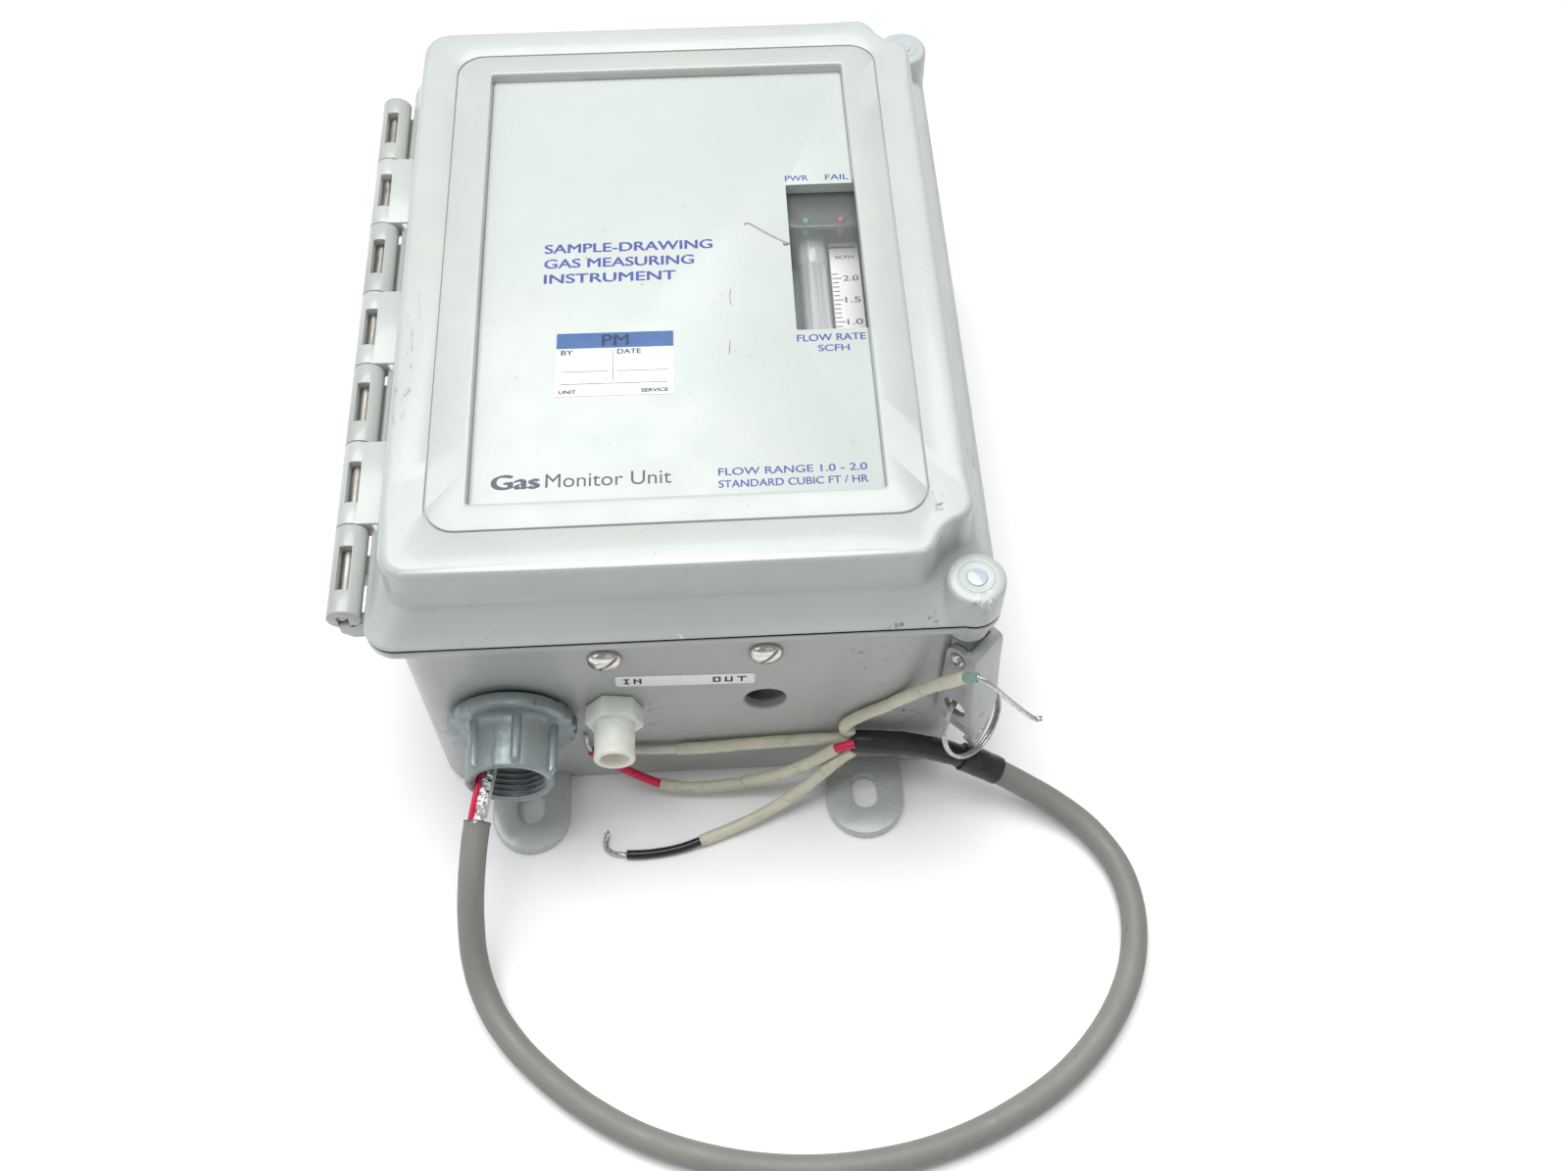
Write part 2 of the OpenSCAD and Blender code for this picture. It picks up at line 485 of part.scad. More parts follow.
module circuit_board() color([0.1, 0.36, 0.2]) difference() {
    translate([-64, -64, board_z]) cube([92, 132, 1.6]);
    for (p = board_xy) translate([p[0], p[1], board_z - 1]) cylinder(r = 1.55, h = 4, $fn = fine);
}

term_x = [for (i = [0:5]) -49 + i * 7.5];

module terminal_block() color([0.14, 0.5, 0.32]) difference() {
    translate([-54, -54, board_z + 1.6]) cube([48, 11, 14]);
    for (x = term_x) {
        translate([x, -46.5, board_z + 8]) cylinder(r = 2.4, h = 9, $fn = fine);
        rod_y(x, board_z + 5.6, 2.2, -55, -49.5);
    }
}

module terminal_screws() color([0.78, 0.77, 0.74]) for (x = term_x) difference() {
    translate([x, -46.5, board_z + 8]) cylinder(r = 2.3, h = 6, $fn = fine);
    translate([x - 3, -46.9, board_z + 13]) cube([6, 0.8, 2]);
}

// Relay, capacitors, chips and fuse on the board
module board_parts() color([0.12, 0.12, 0.13]) translate([0, 0, board_z + 1.6]) {
    translate([-56, -32, 0]) cube([20, 15, 15]);
    translate([-30, -32, 0]) cube([20, 15, 15]);
    for (x = [-52, -38, -24]) translate([x, 44, 0]) cylinder(r = 4, h = 12, $fn = fine);
    for (y = [-6, 8, 22]) translate([-54, y, 0]) cube([20, 7, 4]);
    translate([-26, -4, 0]) cube([26, 26, 3]);
    translate([4, 30, 0]) cube([16, 9, 9]);
    translate([6, -50, 0]) rotate([-90, 0, 0]) translate([0, -3.4, 0]) cylinder(r = 3.2, h = 22, $fn = fine);
    translate([2, 2, 0]) cube([20, 6, 8]);
}

module lamp_panel() color([0.08, 0.08, 0.09]) difference() {
    union() {
        translate([33.5, 25.4, 103]) cube([25.5, 14, 4]);
        for (x = [35.4, 57.1]) translate([x - 1, 37.4, chassis_z + 1.6]) cube([2, 2, 103 - chassis_z - 1.6]);
    }
    for (x = [41, 51.9]) translate([x, 28.2, 101]) cylinder(r = 1.7, h = 8, $fn = fine);
}
module lamp(x) translate([x, 28.2, 100]) {
    cylinder(r = 1.6, h = 7.2, $fn = fine);
    translate([0, 0, 7.2]) cylinder(r1 = 1.6, r2 = 0.7, h = 1, $fn = fine);
}
module lamp_green() color([0.1, 0.6, 0.35]) lamp(41);
module lamp_red() color([0.85, 0.15, 0.1]) lamp(51.9);

// Clear acrylic flowmeter block on two posts, with a bored seat for the tube
module flow_block() color([0.85, 0.9, 0.9, 0.5]) difference() {
    union() {
        translate([36, -66, 78]) cube([22, 90, 12]);
        for (y = [-42, 12]) translate([42, y, chassis_z + 1.6]) cube([10, 6, 78 - chassis_z - 1.6]);
        translate([38, -66, 88]) cube([10, 12, 13]);
    }
    rod_y(tube_x, tube_z, 4.7, -55.5, 26);
    rod_y(tube_x, tube_z, 1.6, -64, -50);
    translate([tube_x, -61, 80]) cylinder(r = 1.8, h = 30, $fn = fine);
}

module flow_tube() color([0.88, 0.93, 0.93, 0.45]) difference() {
    union() {
        rod_y(tube_x, tube_z, 4.6, -55.5, 22);
        intersection() {
            translate([tube_x, 22, tube_z]) sphere(r = 4.6, $fn = fine);
            rod_y(tube_x, tube_z, 5, 22, 30);
        }
    }
    rod_y(tube_x, tube_z, 3.1, -56, 21);
}

module flow_float() color([0.1, 0.1, 0.1]) translate([tube_x, -48, tube_z]) sphere(r = 2.8, $fn = fine);

module flow_knob() color([0.1, 0.1, 0.1]) {
    translate([tube_x, -61, 101.4]) cylinder(r = 6, h = 8, $fn = fine);
    translate([tube_x, -61, 92]) cylinder(r = 1.7, h = 10, $fn = fine);
}

module scale_card() color([0.95, 0.95, 0.93])
    translate([48.4, -50, 90]) cube([9.2, 74, 6.6]);

module sample_pump() color([0.25, 0.26, 0.28]) {
    translate([36, -92, chassis_z + 1.6]) cube([25.4, 22, 26]);
    rod_y(49, chassis_z + 15, 12, -70, -46);
    for (x = [43, 56]) translate([x, -81, chassis_z + 27]) cylinder(r = 2.2, h = 9, $fn = fine);
}

module sensor_block() color([0.7, 0.72, 0.74]) {
    translate([34, 42.5, chassis_z + 1.6]) cube([34, 34, 24]);
    translate([51, 59.5, chassis_z + 25]) cylinder(r = 13, h = 22, $fn = fine);
}

module inner_leads() color([0.8, 0.15, 0.2]) for (i = [0:3]) cord(lead_route(i), 2.4);
module hose_in() color([0.88, 0.9, 0.88]) cord(hose_in_route, hose_d, up = [1, 1, 1]);
module hose_out() color([0.88, 0.9, 0.88]) cord(hose_out_route, hose_d, up = [1, -1, 1]);
module cable_core() color([0.85, 0.85, 0.86]) cord(core_route, 5.2, 10);
module cable_jacket() color([0.5, 0.51, 0.49]) cord(cable_route, cable_d, 12);
module sleeve_short() color([0.1, 0.1, 0.1]) cord(short_route, 8.9, 12);
module sleeve_long() color([0.06, 0.06, 0.07]) cord(long_route, 7.2, 12);
module marker_sleeves() color([0.85, 0.83, 0.73]) {
    cord(green_marker_route, 3.8);
    cord(white_marker_route, 3.8);
    cord(red_marker_route, 3.8);
    cord(black_marker_route, 3.8);
}
module wire_tails() color([0.8, 0.15, 0.2]) {
    cord(green_wire_route, wire_d);
    cord(white_wire_route, wire_d);
    cord(red_wire_route, wire_d);
    cord(red_tail_route, wire_d);
    cord(black_wire_route, wire_d);
}
module bare_strands() color([0.6, 0.58, 0.55]) {
    cord(green_strand_route, 1.6);
    cord(red_strand_route, 1.6);
    cord(black_strand_route, 1.6);
}

base_box();
lid();
lid_gasket();
faceplate();
window_pane();
service_sticker();
boss_plug_front();
boss_plug_rear();
hinge_pin();
latch_front();
latch_rear();
latch_pin_front();
latch_pin_rear();
split_ring();
conduit_hub();
hub_seal_ring();
hub_locknut();
inlet_fitting();
inlet_locknut();
wall_screws();
wall_nuts();
port_tape();
foot_1();
foot_2();
foot_3();
foot_4();
foot_screws();
chassis_plate();
chassis_screws();
board_standoffs();
circuit_board();
terminal_block();
terminal_screws();
board_parts();
lamp_panel();
lamp_green();
lamp_red();
flow_block();
flow_tube();
flow_float();
flow_knob();
scale_card();
sample_pump();
sensor_block();
inner_leads();
hose_in();
hose_out();
cable_core();
cable_jacket();
sleeve_short();
sleeve_long();
marker_sleeves();
wire_tails();
bare_strands();
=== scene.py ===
import random
from math import sin, cos, pi, radians, degrees, atan2, sqrt, hypot

import bpy
import bmesh
from mathutils import Vector, Matrix, noise


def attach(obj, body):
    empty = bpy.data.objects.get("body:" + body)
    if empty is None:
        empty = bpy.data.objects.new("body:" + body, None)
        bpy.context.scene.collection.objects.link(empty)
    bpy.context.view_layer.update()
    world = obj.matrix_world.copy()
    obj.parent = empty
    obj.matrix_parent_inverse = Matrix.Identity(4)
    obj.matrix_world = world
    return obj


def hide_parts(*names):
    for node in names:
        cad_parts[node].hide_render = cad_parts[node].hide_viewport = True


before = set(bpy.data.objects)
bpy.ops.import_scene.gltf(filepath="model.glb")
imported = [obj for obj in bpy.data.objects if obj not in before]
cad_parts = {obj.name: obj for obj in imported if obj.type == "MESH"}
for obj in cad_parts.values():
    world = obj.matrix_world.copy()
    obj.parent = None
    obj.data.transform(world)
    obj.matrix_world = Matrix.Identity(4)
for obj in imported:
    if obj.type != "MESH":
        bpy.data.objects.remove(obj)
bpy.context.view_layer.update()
random.seed(7)
MM = 0.001    # every size below is in millimetres


# ---------------------------------------------------------------- camera

def add(name, data):
    """A new object in the scene."""
    obj = bpy.data.objects.new(name, data)
    bpy.context.scene.collection.objects.link(obj)
    return obj


def look_from(az, el, roll, target, distance):
    """Camera matrix for an azimuth, elevation and roll in degrees, looking at a point in millimetres."""
    az, el, roll = radians(az), radians(el), radians(roll)
    back = Vector((sin(az) * cos(el), -cos(az) * cos(el), sin(el)))
    right = Vector((cos(az), sin(az), 0))
    up = back.cross(right)
    right, up = right * cos(roll) + up * sin(roll), up * cos(roll) - right * sin(roll)
    m = Matrix((right, up, back)).transposed().to_4x4()
    m.translation = (Vector(target) + back * distance) * MM
    return m


camera = add("camera", bpy.data.cameras.new("camera"))
camera.matrix_world = look_from(-3.83, 58.49, 0.75, (26.46, -112.01, 121), 393.43)
camera.data.lens = 35.6
camera.data.sensor_width = 36
camera.data.clip_start = 0.01
bpy.context.scene.camera = camera
bpy.context.scene.view_settings.view_transform = "Standard"


# ---------------------------------------------------------------- materials

class Nodes:
    """A Principled material and short calls to build its node tree."""

    def __init__(self, name, colour, rough=0.5, metal=0.0, spec=0.5, **extra):
        self.mat = bpy.data.materials.new(name)
        self.mat.use_nodes = True
        self.tree = self.mat.node_tree
        self.bsdf = next(n for n in self.tree.nodes if n.type == "BSDF_PRINCIPLED")
        self.set(self.bsdf, "Base Color", (*colour, 1))
        self.set(self.bsdf, "Roughness", rough)
        self.set(self.bsdf, "Metallic", metal)
        self.set(self.bsdf, "Specular IOR Level", spec)
        for key, value in extra.items():
            self.set(self.bsdf, key.replace("_", " "), value)
        self.coord = self.tree.nodes.new("ShaderNodeTexCoord").outputs["Object"]
        self.colour = None
        self.height = None

    def set(self, node, socket, value):
        if isinstance(value, bpy.types.NodeSocket):
            self.tree.links.new(value, node.inputs[socket])
        else:
            node.inputs[socket].default_value = value

    def node(self, kind, inputs=(), **props):
        n = self.tree.nodes.new("ShaderNode" + kind)
        for key, value in props.items():
            setattr(n, key, value)
        for key, value in dict(inputs).items():
            self.set(n, key, value)
        return n

    def noise(self, scale, detail=3.0, rough=0.55, stretch=None, distort=0.0):
        at = self.coord
        if stretch:
            at = self.node("Mapping", {"Vector": at, "Scale": stretch}).outputs[0]
        return self.node("TexNoise", {"Vector": at, "Scale": scale, "Detail": detail, "Roughness": rough,
                                      "Distortion": distort}).outputs["Fac"]

    def ramp(self, value, low, high, out_low=0.0, out_high=1.0):
        n = self.node("MapRange", {"Value": value, "From Min": low, "From Max": high, "To Min": out_low,
                                   "To Max": out_high})
        return n.outputs[0]

    def cloud(self, noise, *levels):
        """Noise, given as the values for noise(), stretched between two levels as by ramp()."""
        return self.ramp(self.noise(*noise), *levels)

    def layer(self, base, colour, noise, *levels):
        """Lays a colour over the base where the noise is high."""
        return self.mix(self.cloud(noise, *levels), base, colour)

    def math(self, op, a, b=0.0, c=0.0):
        n = self.node("Math", operation=op)
        for socket, value in zip(n.inputs, (a, b, c)):
            if isinstance(value, bpy.types.NodeSocket):
                self.tree.links.new(value, socket)
            else:
                socket.default_value = value
        return n.outputs[0]

    def mix(self, fac, a, b):
        n = self.node("Mix", data_type="RGBA")
        for socket, value in ((n.inputs[0], fac), (n.inputs[6], a), (n.inputs[7], b)):
            if isinstance(value, bpy.types.NodeSocket):
                self.tree.links.new(value, socket)
            else:
                socket.default_value = (*value, 1) if isinstance(value, tuple) and len(value) == 3 else value
        return n.outputs[2]

    def spots(self, regions):
        """Mask: 1 at each region's centre and 0 at its edge. A region is (centre, radii)."""
        total = None
        for centre, radii in regions:
            at = self.node("VectorMath", operation="SUBTRACT")
            self.tree.links.new(self.coord, at.inputs[0])
            at.inputs[1].default_value = [c * MM for c in centre]
            scaled = self.node("VectorMath", operation="DIVIDE")
            self.tree.links.new(at.outputs[0], scaled.inputs[0])
            scaled.inputs[1].default_value = [r * MM for r in radii]
            size = self.node("VectorMath", operation="LENGTH")
            self.tree.links.new(scaled.outputs[0], size.inputs[0])
            mask = self.ramp(size.outputs["Value"], 1.0, 0.0)
            total = mask if total is None else self.math("MAXIMUM", total, mask)
        return total

    def paint(self, colour):
        self.colour = colour
        self.tree.links.new(colour, self.bsdf.inputs["Base Color"])

    def rough(self, noise, smooth, coarse, levels=(0.3, 0.7)):
        """Roughness that wanders between two values with the noise."""
        self.tree.links.new(self.cloud(noise, *levels, smooth, coarse), self.bsdf.inputs["Roughness"])

    def bump(self, height, strength=0.3, distance=0.1):
        """Adds a bump: height is a socket, or the values for noise()."""
        if isinstance(height, tuple):
            height = self.noise(*height)
        n = self.node("Bump", {"Height": height, "Strength": strength, "Distance": distance * MM})
        if self.height is not None:
            self.tree.links.new(self.height, n.inputs["Normal"])
        self.height = n.outputs[0]
        self.tree.links.new(self.height, self.bsdf.inputs["Normal"])


def moulded(name, colour, rough=0.38, wear=(), chips=(), grime=0.5, spec=0.5, painted_highlight=()):
    """Moulded fibreglass plastic: faint mottling, fine grain, dark scuffs and pale chips where it is rubbed,
    and optionally a painted highlight: a pale band mixed into the colour.
    """
    m = Nodes(name, colour, rough, spec=spec, Coat_Weight=0.3, Coat_Roughness=0.12)
    dark = tuple(c * 0.93 for c in colour)
    warm = (colour[0] * 1.03, colour[1] * 1.02, colour[2] * 0.96)
    base = m.layer(colour, dark, (18, 4), 0.35, 0.65)
    base = m.layer(base, warm, (55, 3), 0.5, 0.75, 0.0, 0.5)
    fibre = m.noise(420, 3, 0.6, (1, 0.25, 1))
    base = m.mix(m.ramp(fibre, 0.55, 0.8, 0.0, 0.22), base, dark)
    specks = m.cloud((900, 1, 0.4), 0.74, 0.78)
    base = m.mix(m.math("MULTIPLY", specks, grime * 0.7), base, (0.12, 0.12, 0.11))
    if wear:
        rub = m.spots(wear)
        streak = m.cloud((260, 5, 0.7, (1, 0.45, 1), 1.2), 0.56, 0.66)
        scuff = m.math("MULTIPLY", streak, m.ramp(rub, 0.05, 0.6, 0.0, 0.85))
        base = m.mix(scuff, base, (0.09, 0.085, 0.075))
    if chips:
        rub = m.spots(chips)
        flake = m.cloud((340, 4, 0.7, None, 0.6), 0.52, 0.6)
        pale = m.math("MULTIPLY", flake, m.ramp(rub, 0.05, 0.4, 0.0, 0.9))
        base = m.mix(pale, base, (0.86, 0.86, 0.82))
        m.bump(pale, 0.5, 0.2)
    # painted highlight: a pale band laid into the colour where the front top edge would catch the light
    if painted_highlight:
        base = m.mix(m.ramp(m.spots(painted_highlight), 0.0, 0.35, 0.0, 0.95), base, (0.92, 0.93, 0.93))
    m.paint(base)
    m.rough((90, 4), rough - 0.06, rough + 0.1)
    m.bump((1400, 2), 0.12, 0.05)
    m.bump((120, 3), 0.12, 0.25)
    return m.mat


def metal(name, colour, rough=0.3, stain=(0.25, 0.2, 0.14), amount=0.35, grain=(1, 1, 1), bump=0.1, scale=300):
    m = Nodes(name, colour, rough, 1.0)
    patch = m.cloud((scale, 5, 0.65, grain), 0.48, 0.72, 0.0, amount)
    m.paint(m.mix(patch, colour, stain))
    m.rough((scale * 2, 3, 0.5, grain), rough * 0.7, rough * 1.5)
    m.bump((scale * 4, 2, 0.5, grain), bump, 0.05)
    return m.mat


def plain(name, colour, rough=0.5, vary=0.12, scale=120, bump=0.15, spec=0.5, dirt=None, **extra):
    """Plastic, rubber or paper with a little cloudiness, grain and dirt."""
    m = Nodes(name, colour, rough, spec=spec, **extra)
    shade = tuple(max(0.0, c * (1 - vary)) for c in colour)
    base = m.layer(colour, shade, (scale, 4), 0.35, 0.65)
    if dirt:
        base = m.layer(base, dirt, (scale * 2.7, 5, 0.7), 0.56, 0.7, 0.0, 0.45)
    m.paint(base)
    m.rough((scale * 1.7, 3), max(0.04, rough - 0.08), rough + 0.08)
    m.bump((scale * 9, 2), bump, 0.06)
    return m.mat


# ---------------------------------------------------------------- mesh tools, all in millimetres

def piece(name, verts, faces, body, mat, smooth=35):
    """A mesh object from a part in millimetres. Without a body, it is made into another piece later."""
    mesh = bpy.data.meshes.new(name)
    mesh.from_pydata([[c * MM for c in v] for v in verts], [], faces)
    bm = bmesh.new()
    bm.from_mesh(mesh)
    bmesh.ops.remove_doubles(bm, verts=bm.verts, dist=1e-7)
    bmesh.ops.recalc_face_normals(bm, faces=bm.faces)
    bm.to_mesh(mesh)
    bm.free()
    obj = add(name, mesh)
    if mat:
        mesh.materials.append(mat)
    shade(obj, smooth)
    if body:
        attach(obj, body)
    return obj


def shade(obj, angle=35):
    obj.data.shade_smooth()
    if angle < 180:
        obj.data.set_sharp_from_angle(angle=radians(angle))


def bake(obj, angle=35):
    """Applies the modifiers to the mesh."""
    got = bpy.data.meshes.new_from_object(obj.evaluated_get(bpy.context.evaluated_depsgraph_get()))
    old = obj.data
    obj.modifiers.clear()
    obj.data = got
    got.name = obj.name
    if old.users == 0:
        bpy.data.meshes.remove(old)
    shade(obj, angle)
    return obj


def drop(obj):
    mesh = obj.data
    bpy.data.objects.remove(obj)
    bpy.data.meshes.remove(mesh)


def combine(obj, others, operation="DIFFERENCE", angle=35):
    """Cuts an object with the others, or keeps what they share, and drops them."""
    for other in others:
        mod = obj.modifiers.new("cut", "BOOLEAN")
        mod.operation = operation
        mod.solver = "EXACT"
        mod.object = other
    bpy.context.view_layer.update()
    bake(obj, angle)
    for other in others:
        drop(other)
    return obj


def soften(obj, width, segments=2, angle=30, smooth=50):
    """Rounds the edges that are sharper than the angle."""
    mod = obj.modifiers.new("bevel", "BEVEL")
    mod.width = width * MM
    mod.segments = segments
    mod.limit_method = "ANGLE"
    mod.angle_limit = radians(angle)
    mod.use_clamp_overlap = True
    bpy.context.view_layer.update()
    return bake(obj, smooth)


def loft(rings, cap_low=True, cap_high=True, closed=True):
    """Verts and faces through rings of the same count."""
    n = len(rings[0])
    verts = [p for ring in rings for p in ring]
    faces = []
    for k in range(len(rings) - 1):
        for i in range(n if closed else n - 1):
            j = (i + 1) % n
            faces.append((k * n + i, k * n + j, (k + 1) * n + j, (k + 1) * n + i))
    if cap_low:
        faces.append(tuple(range(n))[::-1])
    if cap_high:
        faces.append(tuple(range((len(rings) - 1) * n, len(rings) * n)))
    return verts, faces


def merge(*parts):
    """One part, as (verts, faces), from several."""
    verts, faces = [], []
    for v, f in parts:
        k = len(verts)
        verts += list(v)
        faces += [tuple(i + k for i in face) for face in f]
    return verts, faces


def moved(part, matrix):
    return [tuple(matrix @ Vector(v)) for v in part[0]], part[1]


def shifted(part, x, y, z=0):
    return moved(part, Matrix.Translation((x, y, z)))


def cutter(part):
    """Object without a body or material, for a boolean."""
    return piece("cutter", *part, None, None)


def prism(outline, low, high, plane="xy"):
    """A 2D outline extruded along the third axis."""
    at = {"xy": lambda p, h: (p[0], p[1], h), "xz": lambda p, h: (p[0], h, p[1]),
          "yz": lambda p, h: (h, p[0], p[1])}[plane]
    return loft([[at(p, low) for p in outline], [at(p, high) for p in outline]])


def block(x0, x1, y0, y1, z0, z1):
    return prism([(x0, y0), (x1, y0), (x1, y1), (x0, y1)], z0, z1)


def circle(r, h, n):
    return [(r * cos(2 * pi * i / n), r * sin(2 * pi * i / n), h) for i in range(n)]


def toothed(r, h, n, depth, every, first=1):
    """Circle with grooves: points lie deeper for half of every few, from the given one on."""
    radii = [r - (depth if (i - first) % every < every / 2 else 0) for i in range(n)]
    return [(q * cos(2 * pi * i / n), q * sin(2 * pi * i / n), h) for i, q in enumerate(radii)]


def lathe(profile, n=64, caps=(True, True)):
    """Profile of (radius, height) turned about Z."""
    return loft([circle(r, h, n) for r, h in profile], *caps)


def along_y(part, x, z):
    """Stands a part made about Z on the -Y direction: its height becomes -y, about the line (x, z)."""
    return moved(part, Matrix.Translation((x, 0, z)) @ Matrix.Rotation(radians(90), 4, "X"))


def arc(cx, cy, r, a0, a1, n):
    return [(cx + r * cos(radians(a0 + (a1 - a0) * i / n)), cy + r * sin(radians(a0 + (a1 - a0) * i / n)))
            for i in range(n + 1)]


def rounded(hx, hy, r, n=8):
    return (arc(hx - r, hy - r, r, 0, 90, n) + arc(-hx + r, hy - r, r, 90, 180, n)
            + arc(-hx + r, -hy + r, r, 180, 270, n) + arc(hx - r, -hy + r, r, 270, 360, n))


def at_corner(rear=False):
    """Frame of a latch corner: +X points out of the corner, +Y across it."""
    m = Matrix.Translation((BOSS[0], BOSS[1], 0)) @ Matrix.Rotation(radians(-45), 4, "Z")
    return Matrix.Scale(-1, 4, (0, 1, 0)) @ m if rear else m


def route_points(route, steps=8):
    """Catmull-Rom curve through a route, as in the CAD model."""
    p = [Vector(q) for q in route]
    out = []
    for i in range(len(p) - 1):
        a, b, c, d = p[max(i - 1, 0)], p[i], p[i + 1], p[min(i + 2, len(p) - 1)]
        for k in range(steps):
            t = k / steps
            out.append(0.5 * (2 * b + (c - a) * t + (2 * a - 5 * b + 4 * c - d) * t * t
                              + (3 * b - a - 3 * c + d) * t ** 3))
    out.append(p[-1])
    return out


def frames(points):
    """Rotation-minimising frames along points: lists of (point, side, up)."""
    n = len(points)
    dirs = [(points[min(i + 1, n - 1)] - points[max(i - 1, 0)]).normalized() for i in range(n)]
    side = dirs[0].orthogonal().normalized()
    out = []
    for p, d in zip(points, dirs):
        side = (side - d * side.dot(d)).normalized()
        out.append((p, side, d.cross(side)))
    return out


def sweep(points, radius, sides=12, caps=True):
    """Tube along points: radius is a number or a function of (part of the way along, angle)."""
    rings = []
    n = len(points)
    for i, (p, a, b) in enumerate(frames(points)):
        ring = []
        for k in range(sides):
            t = 2 * pi * k / sides
            r = radius(i / (n - 1), t) if callable(radius) else radius
            ring.append(tuple(p + (a * cos(t) + b * sin(t)) * r))
        rings.append(ring)
    return loft(rings, caps, caps)


def length_of(points):
    return sum((b - a).length for a, b in zip(points, points[1:]))


def curve(name, route, diameter, mat):
    """A free cord on the base, as a poly curve."""
    points = route_points(route, 6)
    data = bpy.data.curves.new(name, "CURVE")
    data.dimensions = "3D"
    data.bevel_depth = diameter / 2 * MM
    data.bevel_resolution = 5
    data.use_fill_caps = True
    spline = data.splines.new("POLY")
    spline.points.add(len(points) - 1)
    for q, p in zip(spline.points, points):
        q.co = (*(p * MM), 1)
    obj = add(name, data)
    data.materials.append(mat)
    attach(obj, "base")
    return obj, points


def lettering(name, text, height, at, body, mat, width=None, bold=0.0, turn=0.0, centre=False):
    """Lettering as a thin mesh, from the height of its capitals and the length of its line.

    Bold is made by laying shifted copies over each other, each a little higher.
    """
    thick, step = 0.03, 0.004
    data = bpy.data.curves.new(name, "FONT")
    data.body = text
    data.extrude = 0.5
    font = add(name, data)
    bpy.context.view_layer.update()
    mesh = bpy.data.meshes.new_from_object(font.evaluated_get(bpy.context.evaluated_depsgraph_get()))
    bpy.data.objects.remove(font)
    bpy.data.curves.remove(data)
    xs = [v.co.x for v in mesh.vertices]
    tall = max(v.co.y for v in mesh.vertices)
    wide = max(xs) - min(xs)
    sx = width / wide if width else height / tall
    shift = min(xs) + (wide / 2 if centre else 0)
    m = (Matrix.Translation(at) @ Matrix.Rotation(radians(turn), 4, "Z")
         @ Matrix.Diagonal((sx, height / tall, thick, 1)) @ Matrix.Translation((-shift, 0, 0)))
    mesh.transform(Matrix.Scale(MM, 4) @ m)
    mesh.name = name
    if bold:
        bm = bmesh.new()
        for k in range(3):
            first = len(bm.verts)
            bm.from_mesh(mesh)
            bm.verts.ensure_lookup_table()
            for v in bm.verts[first:]:
                v.co += Vector(((k - 1) * bold, (k - 1) * bold * 0.4, k * step)) * MM
        bm.to_mesh(mesh)
        bm.free()
    obj = add(name, mesh)
    mesh.materials.append(mat)
    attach(obj, body)
    return obj


# ---------------------------------------------------------------- sizes of the CAD part, in millimetres

RIM_W, RIM_L, BASE_H, TOP, WALL = 171.4, 224.4, 95.0, 121.0, 3.2
LID_Z, BAND_Z, STEP_Z, EDGE_R = 95.4, 97.2, 105.8, 6.0
FLOOR_Z, CEIL_Z = 117.3, 114.1
RAISED_W, RAISED_L = 157.0, 209.2
BASE_W, BASE_L = 161.0, 213.0
WALL_Y, WALL_D = -BASE_L / 2, BASE_L / 2    # the front wall's face, and as a height for along_y
BOSS, BOSS_R, SCOOP_R = (78.2, -104.4), 7.3, 11.5
CAP_R = 8.2
HINGE_X, HINGE_Y, HINGE_Z, BARREL_R, PIN_R, KNUCKLE = -91.6, -1.8, 95.8, 4.3, 1.5, 28.5
HUB_X, HUB_Z, HUB_MOUTH = -53.0, 45.0, -128.6
INLET_X, OUTLET_X, PORT_Z, OUTLET_R = -22.7, 21.8, 48.0, 6.2
SCREW_Z, SCREW_XS = 77.0, (-23.0, 22.0)
WIN_X, WIN_Y = (35.0, 56.0), (-24.8, 32.8)
PIVOT_U, PIVOT_Z, EYE_U, EYE_Z = 2.7, 75.3, 4.8, 48.4
RING_U, RING_Z, RING_TILT = 3.7, 46.6, 24.0
TUBE_X, TUBE_Z = 43.0, 96.0
FOOT_X, FOOT_Y, FOOT_SCREW_Y = 52.5, 117.7, 92
WIRE_D, CABLE_D = 2.8, 8.0


# ---------------------------------------------------------------- the free cable and its conductors

CABLE = [(-63, -137, 38.6), (-64, -142, 36), (-64.8, -147, 33), (-65.6, -152, 29), (-66.4, -157, 23.6),
         (-66.8, -162, 18), (-66.6, -168, 12.6), (-64.6, -176, 8), (-59.6, -186, 5.2), (-50, -197.6, 4.2),
         (-34, -211, 4.1), (-15, -221.5, 4.1), (8, -228.5, 4.1), (32, -231, 4.1), (56, -229, 4.1),
         (76, -223.5, 4.1), (94, -215, 4.1), (107, -206, 4.1), (118, -194.5, 4.1), (125.5, -182.5, 4.1),
         (129.5, -170.5, 4.1), (130.5, -158, 4.1), (128, -146, 4.2), (121, -134.5, 4.8), (111, -126, 6.8),
         (101, -120.4, 9.8), (92, -116.8, 14)]
CORE = [(-58.6, -118, 44.6), (-59.6, -123, 44), (-60.6, -128, 43), (-61.8, -132.6, 41.2), (-63, -137, 38.6)]
SHORT = [(94, -117.5, 13), (90, -116.2, 15), (86, -115.2, 17.2), (82, -114.4, 19)]
LONG = [(84, -114.8, 18.2), (80, -114, 19.8), (73, -112.8, 22.2), (66, -112, 24), (57, -111.4, 25.6),
        (47.5, -111.1, 26.6)]
GREEN = [(48.5, -109.2, 28.8), (46, -109, 30.4), (46.4, -108.8, 34), (51, -108.6, 39), (58, -108.6, 44.6),
         (64, -109.4, 52), (70, -113, 64.5), (76.6, -118.4, 78.5)]
GREEN_TAIL = [(76.6, -118.4, 78.5), (79, -120.6, 82.5)]
GREEN_STRAND = [(79, -120.6, 82.5), (83, -122, 80.5), (89, -123.4, 73), (96, -124.8, 65), (99, -125.2, 64.6)]
